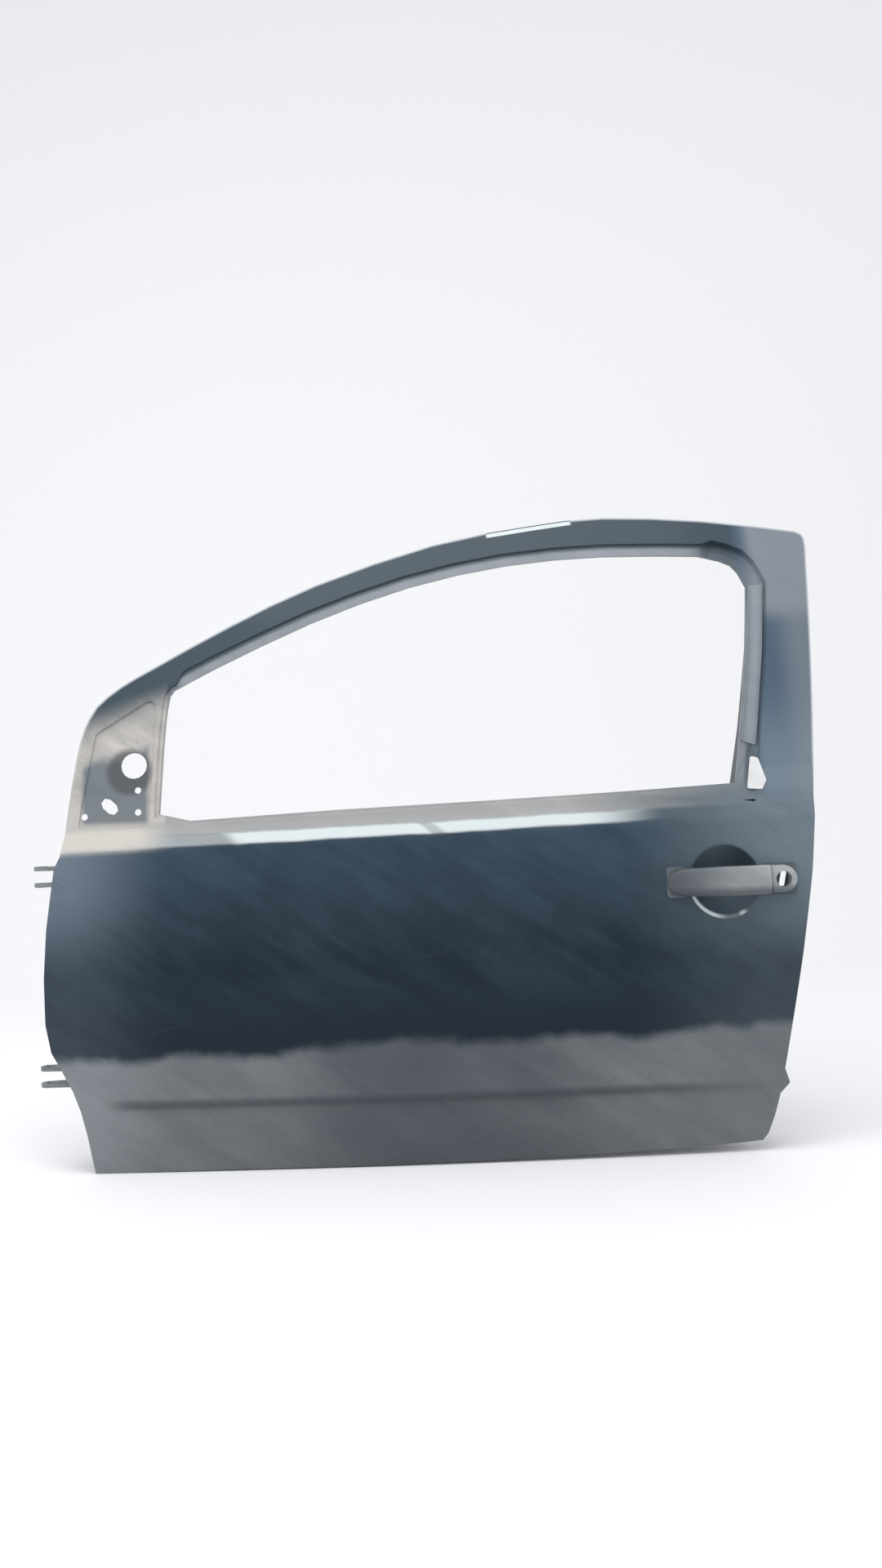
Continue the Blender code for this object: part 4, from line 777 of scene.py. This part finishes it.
def skin_paint():
    made, tree, shader = new_material("dusty_navy_paint")
    at = found_on_skin(tree, put(tree, "ShaderNodeTexCoord").outputs["Object"])
    colour = body_haze(tree, at)
    colour, sill_band_mask = sill_band(tree, colour, at)
    colour = window_surround(tree, colour, at)
    colour, chalk = shoulder_dust_and_reflection(tree, colour, at)
    colour, powder_and_reflection = mirror_seat(tree, colour, at)
    colour = handle_cup(tree, colour, at)
    marks = put(tree, "ShaderNodeGroup", {"Vector": at.place}, node_tree=scratches)
    colour = laid(tree, colour, scratch_grey, marks.outputs["Mask"], scratch_amount)
    facing = put(tree, "ShaderNodeSeparateXYZ", [put(tree, "ShaderNodeNewGeometry").outputs["True Normal"]])
    inside = fade(tree, facing.outputs["Y"], cabin_facing)
    colour = laid(tree, colour, inner_navy, inside)
    colour = laid(tree, colour, inner_dust, inside, at.dusty, veil_amount)
    tree.links.new(colour, shader.inputs["Base Color"])

    dull = put(tree, "ShaderNodeMath", [plus(tree, sill_band_mask, chalk), powder_and_reflection], operation="ADD",
               use_clamp=True).outputs[0]
    rough = plus(tree, mapped(tree, dull, (0.0, 1.0), clean_to_dusty_roughness),
                 times(tree, at.dusty, dust_roughness))
    tree.links.new(rough, shader.inputs["Roughness"])
    tree.links.new(mapped(tree, dull, (0.0, 1.0), clean_to_dusty_coat), shader.inputs["Coat Weight"])
    shader.inputs["Specular IOR Level"].default_value = paint_specular
    shader.inputs["Coat Roughness"].default_value = coat_roughness
    peel = put(tree, "ShaderNodeTexNoise", {"Vector": at.place, "Scale": peel_scale, "Detail": 2.0})
    bumps = times(tree, plus(tree, peel.outputs["Fac"], at.specks), relief_share)
    bump = put(tree, "ShaderNodeBump", {"Strength": 0.06, "Distance": 0.0006, "Height": bumps})
    tree.links.new(bump.outputs[0], shader.inputs["Normal"])
    return made


skin = refined("outer_skin", near_fold, true_y)
dress(skin, "door", ["outer_skin"], skin_paint())


# Inner window frame: a pressed hat section behind the skin's frame, spot-welded to it and
# painted with the body, so it has the same navy but was never polished or waxed.
frame_facet = 0.030
inner_scratch_grey = (0.35, 0.36, 0.37)
inner_scratch_amount = 0.18
inner_roughness = (0.35, 0.36)


def dust_on(tree, place, amount, spread):
    """The dust film for a small piece: how much lies at a place, and its height."""
    film = put(tree, "ShaderNodeGroup", {"Vector": place, "Amount": amount, "Cloud Scale": spread},
               node_tree=dust_film)
    return film.outputs["Mask"], film.outputs["Height"]


def inner_paint_material(name, amount, spread):
    made, tree, shader = new_material(name)
    place = put(tree, "ShaderNodeTexCoord").outputs["Object"]
    dusty, specks = dust_on(tree, place, amount, spread)
    colour = laid(tree, inner_navy, inner_dust, dusty)
    marks = put(tree, "ShaderNodeGroup", {"Vector": place}, node_tree=scratches)
    colour = laid(tree, colour, inner_scratch_grey, marks.outputs["Mask"], inner_scratch_amount)
    tree.links.new(colour, shader.inputs["Base Color"])
    tree.links.new(scaled(tree, dusty, inner_roughness), shader.inputs["Roughness"])
    shader.inputs["Specular IOR Level"].default_value = 0.3
    bump = put(tree, "ShaderNodeBump", {"Strength": 0.12, "Distance": 0.0006, "Height": specks})
    tree.links.new(bump.outputs[0], shader.inputs["Normal"])
    return made


window_frame = refined("inner_window_frame", lambda place: frame_facet, plain_y)
dress(window_frame, "door", ["inner_window_frame"],
      inner_paint_material("frame_paint", amount=0.75, spread=12.0))


# Inner panel: one deep pressing of thin steel in the same paint, hemmed into the skin. Dust
# lies on its ledges, and its flat wall keeps the marks of the trim that was clipped to it.
panel_fold = math.radians(20)


def smoothed(node, fold):
    """A copy of a node's mesh whose facets are smooth up to the fold's angle."""
    bm = bmesh.new()
    bm.from_mesh(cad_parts[node].data)
    bm.transform(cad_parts[node].matrix_world)
    bmesh.ops.remove_doubles(bm, verts=bm.verts, dist=same_point)
    for edge in bm.edges:
        edge.smooth = len(edge.link_faces) == 2 and edge.calc_face_angle() < fold
    for face in bm.faces:
        face.smooth = True
    return linked_object(node + "_look", bm)


inner_panel = smoothed("inner_panel", panel_fold)
dress(inner_panel, "door", ["inner_panel"],
      inner_paint_material("panel_paint", amount=0.6, spread=7.0))


# Hinge leaves: cast steel with two drilled ears each, bolted to the front wall and painted
# over with the body, so the paint is thick, with pale worn patches here and there.
leaf_fold = math.radians(30)
edge_radius = 0.0007
worn_roughness = 0.25


def rounded_bump(tree, shader, height, strength):
    """Fine relief on edges that look rounded."""
    rounded = put(tree, "ShaderNodeBevel", {"Radius": edge_radius}, samples=3)
    bump = put(tree, "ShaderNodeBump", {"Strength": strength, "Distance": 0.0004, "Height": height,
                                        "Normal": rounded.outputs[0]})
    tree.links.new(bump.outputs[0], shader.inputs["Normal"])


def metal_material(name, colour, worn, roughness, metallic, spread=45.0, cover=0.6):
    """Small pieces, most of metal: grime or wear lies on them in patches."""
    made, tree, shader = new_material(name)
    place = put(tree, "ShaderNodeTexCoord").outputs["Object"]
    dusty, specks = dust_on(tree, place, cover, spread)
    tree.links.new(laid(tree, colour, worn, dusty), shader.inputs["Base Color"])
    tree.links.new(scaled(tree, dusty, (worn_roughness, roughness)), shader.inputs["Roughness"])
    shader.inputs["Metallic"].default_value = metallic
    rounded_bump(tree, shader, specks, 0.2)
    return made


def dress_group(nodes, body, material, fold=leaf_fold):
    for node in nodes:
        dress(smoothed(node, fold), body, [node], material)


hinge_paint = metal_material("hinge_paint", colour=(0.085, 0.100, 0.115), worn=(0.30, 0.31, 0.31),
                             roughness=0.4, metallic=0.0)
dress_group(["hinge_leaf_upper", "hinge_leaf_lower"], "door", hinge_paint)


# Plates behind the faces: thick stamped steel, spot-welded or tapped for the bolts. They
# stiffen the pressing where hinges, check strap and latch pull on it.
plate_steel = metal_material("plate_steel", colour=(0.20, 0.21, 0.23), worn=(0.09, 0.085, 0.08),
                             roughness=0.42, metallic=0.85)
dress_group(["hinge_tapping_plate_upper", "hinge_tapping_plate_lower", "check_strap_reinforcement",
             "latch_reinforcement"], "door", plate_steel)


# Bolts, pin and spring: turned or coiled steel with a yellowish zinc coat gone dull. The
# bolts hold the hinge leaves, and the pin and its spring carry the pull handle.
zinc = metal_material("zinc_steel", colour=(0.46, 0.45, 0.40), worn=(0.24, 0.21, 0.16),
                      roughness=0.35, metallic=0.9, spread=90.0)
dress_group(["hinge_bolt_upper_top", "hinge_bolt_upper_foot", "hinge_bolt_lower_top",
             "hinge_bolt_lower_foot", "handle_pivot_pin", "handle_return_spring"],
            "door", zinc)


# Side impact beam: a drawn tube of hard steel across the door, its ends welded into the
# collars of two pressed brackets. It was never painted outside the dip bath.
beam_steel = metal_material("beam_steel", colour=(0.13, 0.14, 0.155), worn=(0.07, 0.065, 0.06),
                            roughness=0.45, metallic=0.7, spread=14.0)
dress_group(["side_impact_beam", "beam_bracket_front", "beam_bracket_rear"], "door",
            beam_steel)


# Belt and mirror reinforcements: pressed steel strips along both sides of the glass slot,
# and a thick plate behind the mirror's seat. All are welded in and only dip-coated.
belt_steel = metal_material("belt_steel", colour=(0.16, 0.17, 0.185), worn=(0.10, 0.10, 0.10),
                            roughness=0.5, metallic=0.6, spread=20.0)
dress_group(["belt_reinforcement_outer", "belt_reinforcement_inner", "mirror_reinforcement"], "door",
            belt_steel)


# Run channel: a rolled grey strip that guided the glass, pressed into the band behind the
# window. The tab at its foot is folded bright sheet that stands a little proud.
channel_look = metal_material("channel_grey", colour=(0.20, 0.235, 0.270), worn=(0.30, 0.33, 0.355),
                              roughness=0.55, metallic=0.0, spread=16.0)
dress_group(["rear_run_channel"], "door", channel_look)
bright = metal_material("bright_metal", colour=(0.86, 0.87, 0.88), worn=(0.60, 0.61, 0.62),
                        roughness=0.30, metallic=0.5, spread=30.0)
dress_group(["channel_end_tab"], "door", bright)


# Handle gaskets: thin moulded rubber pads between the handle's ends and the skin. They
# have gone as dusty as the paint round them, so they hardly stand out from it.
rubber = metal_material("gasket_rubber", colour=(0.040, 0.052, 0.064), worn=(0.125, 0.145, 0.160),
                        roughness=0.75, metallic=0.0, spread=60.0, cover=0.9)
dress_group(["handle_gasket_front", "handle_gasket_rear"], "door", rubber)


# Pull handle: a moulded strap that tapers to its front end, where it swings on a pin, with
# a fixed cap behind it round the lock's bare hole. Both are grained black plastic, made pale
# towards the cap and on their upper parts, partly with dust and partly as painted light from
# above, so that their lower third keeps a painted shade.
handle_height = 0.046
grip_past_cup = 0.035
pivot_setback = 0.013
pivot_depth = 0.010
arm_half = 0.005
arm_width = 0.012
arm_reach = 0.030
arm_round = 0.0046
arm_round_steps = 10
rear_arm_half = 0.003
rear_arm_past_cup = 0.009
grip_front = cup_x - cup_radius - grip_past_cup
grip_rear = 1.1583
grip_proud = 0.0255
grip_length_shares = [0.0, 0.04, 0.10, 0.20, 0.36, 0.55, 0.72, 0.86, 0.94, 1.0]
grip_outer_shares = [0.26, 0.43, 0.61, 0.79, 0.94, 1.0, 1.0, 0.94, 0.87, 0.81]
grip_under_shares = [0.18, 0.14, 0.09, 0.12, 0.35, 0.49, 0.49, 0.35, 0.16, 0.095]
grip_height_shares = [0.30, 0.62, 0.84, 0.94, 0.97, 1.0, 1.0, 1.0, 1.0, 0.98]
grip_squareness = 0.62
grip_rings = 56
ring_points = 40
plastic_fold = math.radians(35)
black_plastic = (0.040, 0.052, 0.062)
grip_dust_and_light = (0.40, 0.425, 0.44)
grip_dust_patches = (0.5, 0.5)
grip_dust_across = (0.995, 1.175)
grip_dust_across_share = (0.93, 0.07)
grip_lit_climb = (0.262, 0.276)
grip_lit_climb_share = (0.75, 0.25)


def between(shares, t):
    """A value of the list at a place along the grip, on a smooth curve."""
    i = max(k for k in range(len(shares) - 1) if grip_length_shares[k] <= t or k == 0)
    known = [(grip_length_shares[k], shares[k]) for k in
             (max(i - 1, 0), i, i + 1, min(i + 2, len(shares) - 1))]
    (a, p), (b, q), (c, r), (d, u) = known
    share = (t - b) / (c - b)
    leave = (r - p) / (c - a) * (c - b)
    arrive = (u - q) / (d - b) * (c - b)
    return (q * (1 + 2 * share) * (1 - share) ** 2 + leave * share * (1 - share) ** 2
            + r * share**2 * (3 - 2 * share) - arrive * share**2 * (1 - share))


def grip_row(bm, x, outer, under, tall):
    """A ring between an ellipse and a rectangle, standing proud of the skin."""
    made = []
    for k in range(ring_points):
        turn = math.tau * k / ring_points
        c, s = math.cos(turn), math.sin(turn)
        u = math.copysign(abs(c) ** grip_squareness, c) * (under - outer) / 2
        z = cup_z + math.copysign(abs(s) ** grip_squareness, s) * tall
        made.append(bm.verts.new((x, bow(x, z) + (outer + under) / 2 + u, z)))
    return made


def grip_shell(bm):
    """The strap: rings from the pin's end to the cap, closed at both ends."""
    rows = []
    for i in range(grip_rings + 1):
        t = 0.5 - 0.5 * math.cos(math.pi * i / grip_rings)
        x = grip_front + (grip_rear - grip_front) * t
        rows.append(grip_row(bm, x, -grip_proud * between(grip_outer_shares, t),
                             -grip_proud * between(grip_under_shares, t),
                             handle_height / 2 * between(grip_height_shares, t)))
    for row, on in zip(rows, rows[1:]):
        for k in range(ring_points):
            n = (k + 1) % ring_points
            bm.faces.new([row[k], row[n], on[n], on[k]])
    bm.faces.new(rows[0])
    bm.faces.new(rows[-1])


def arm(bm, outline):
    """A straight arm: an outline seen from above, drawn up over the arm's width."""
    low = cup_z - arm_width / 2
    foot, head = [[bm.verts.new((x, y, z)) for x, y in outline] for z in (low, low + arm_width)]
    bm.faces.new(foot)
    bm.faces.new(head)
    for k in range(len(outline)):
        n = (k + 1) % len(outline)
        bm.faces.new([foot[k], foot[n], head[n], head[k]])


def front_arm(bm):
    """The arm that reaches through the skin and ends round the pin."""
    x = grip_front + pivot_setback
    y = bow(x, cup_z)
    root = y - grip_proud / 3
    turns = [math.pi * k / arm_round_steps for k in range(arm_round_steps + 1)]
    nose = [(x + arm_round * math.cos(turn), y + pivot_depth + arm_round * math.sin(turn))
            for turn in turns]
    arm(bm, [(x + arm_half, root), *nose, (x - arm_half, root)])


def rear_arm(bm):
    """The tapered arm that reaches through the skin behind the cup."""
    x = cup_x + cup_radius + rear_arm_past_cup
    y = bow(x, cup_z)
    root, tip = y - grip_proud / 2, y + arm_reach
    arm(bm, [(x - rear_arm_half, root), (x + rear_arm_half, root),
             (x + rear_arm_half / 2, tip), (x - rear_arm_half / 2, tip)])


def grip_mesh():
    bm = bmesh.new()
    grip_shell(bm)
    front_arm(bm)
    rear_arm(bm)
    bmesh.ops.recalc_face_normals(bm, faces=bm.faces)
    for edge in bm.edges:
        edge.smooth = edge.calc_face_angle() < plastic_fold
    for face in bm.faces:
        face.smooth = True
    return linked_object("handle_grip_look", bm)


def handle_plastic_material():
    made, tree, shader = new_material("handle_plastic")
    place = put(tree, "ShaderNodeTexCoord").outputs["Object"]
    split = put(tree, "ShaderNodeSeparateXYZ", [place])
    film, specks = dust_on(tree, place, 0.8, 22.0)
    # Pale grey laid by the dust film, towards the cap and above the lower third: partly dust, partly painted
    # light from above; the lower third is left dark as painted shade.
    colour = laid(tree, black_plastic, grip_dust_and_light, scaled(tree, film, grip_dust_patches),
                  scaled(tree, fade(tree, split.outputs["X"], grip_dust_across), grip_dust_across_share),
                  scaled(tree, fade(tree, split.outputs["Z"], grip_lit_climb), grip_lit_climb_share))
    tree.links.new(colour, shader.inputs["Base Color"])
    shader.inputs["Roughness"].default_value = 0.5
    shader.inputs["Specular IOR Level"].default_value = 0.35
    grain = put(tree, "ShaderNodeTexVoronoi", {"Vector": place, "Scale": 900.0})
    rounded_bump(tree, shader, grain.outputs["Distance"], 0.15)
    return made


plastic = handle_plastic_material()
dress(grip_mesh(), "pull_handle", ["handle_grip"], plastic)
dress_group(["handle_end_cap"], "door", plastic, plastic_fold)


# Handle brackets: stamped steel plates on the back of the skin. The front one has two ears
# for the handle's pin, and the rear one guides the end of the strap.
dress_group(["handle_pivot_bracket", "handle_rear_bracket"], "door", plate_steel)
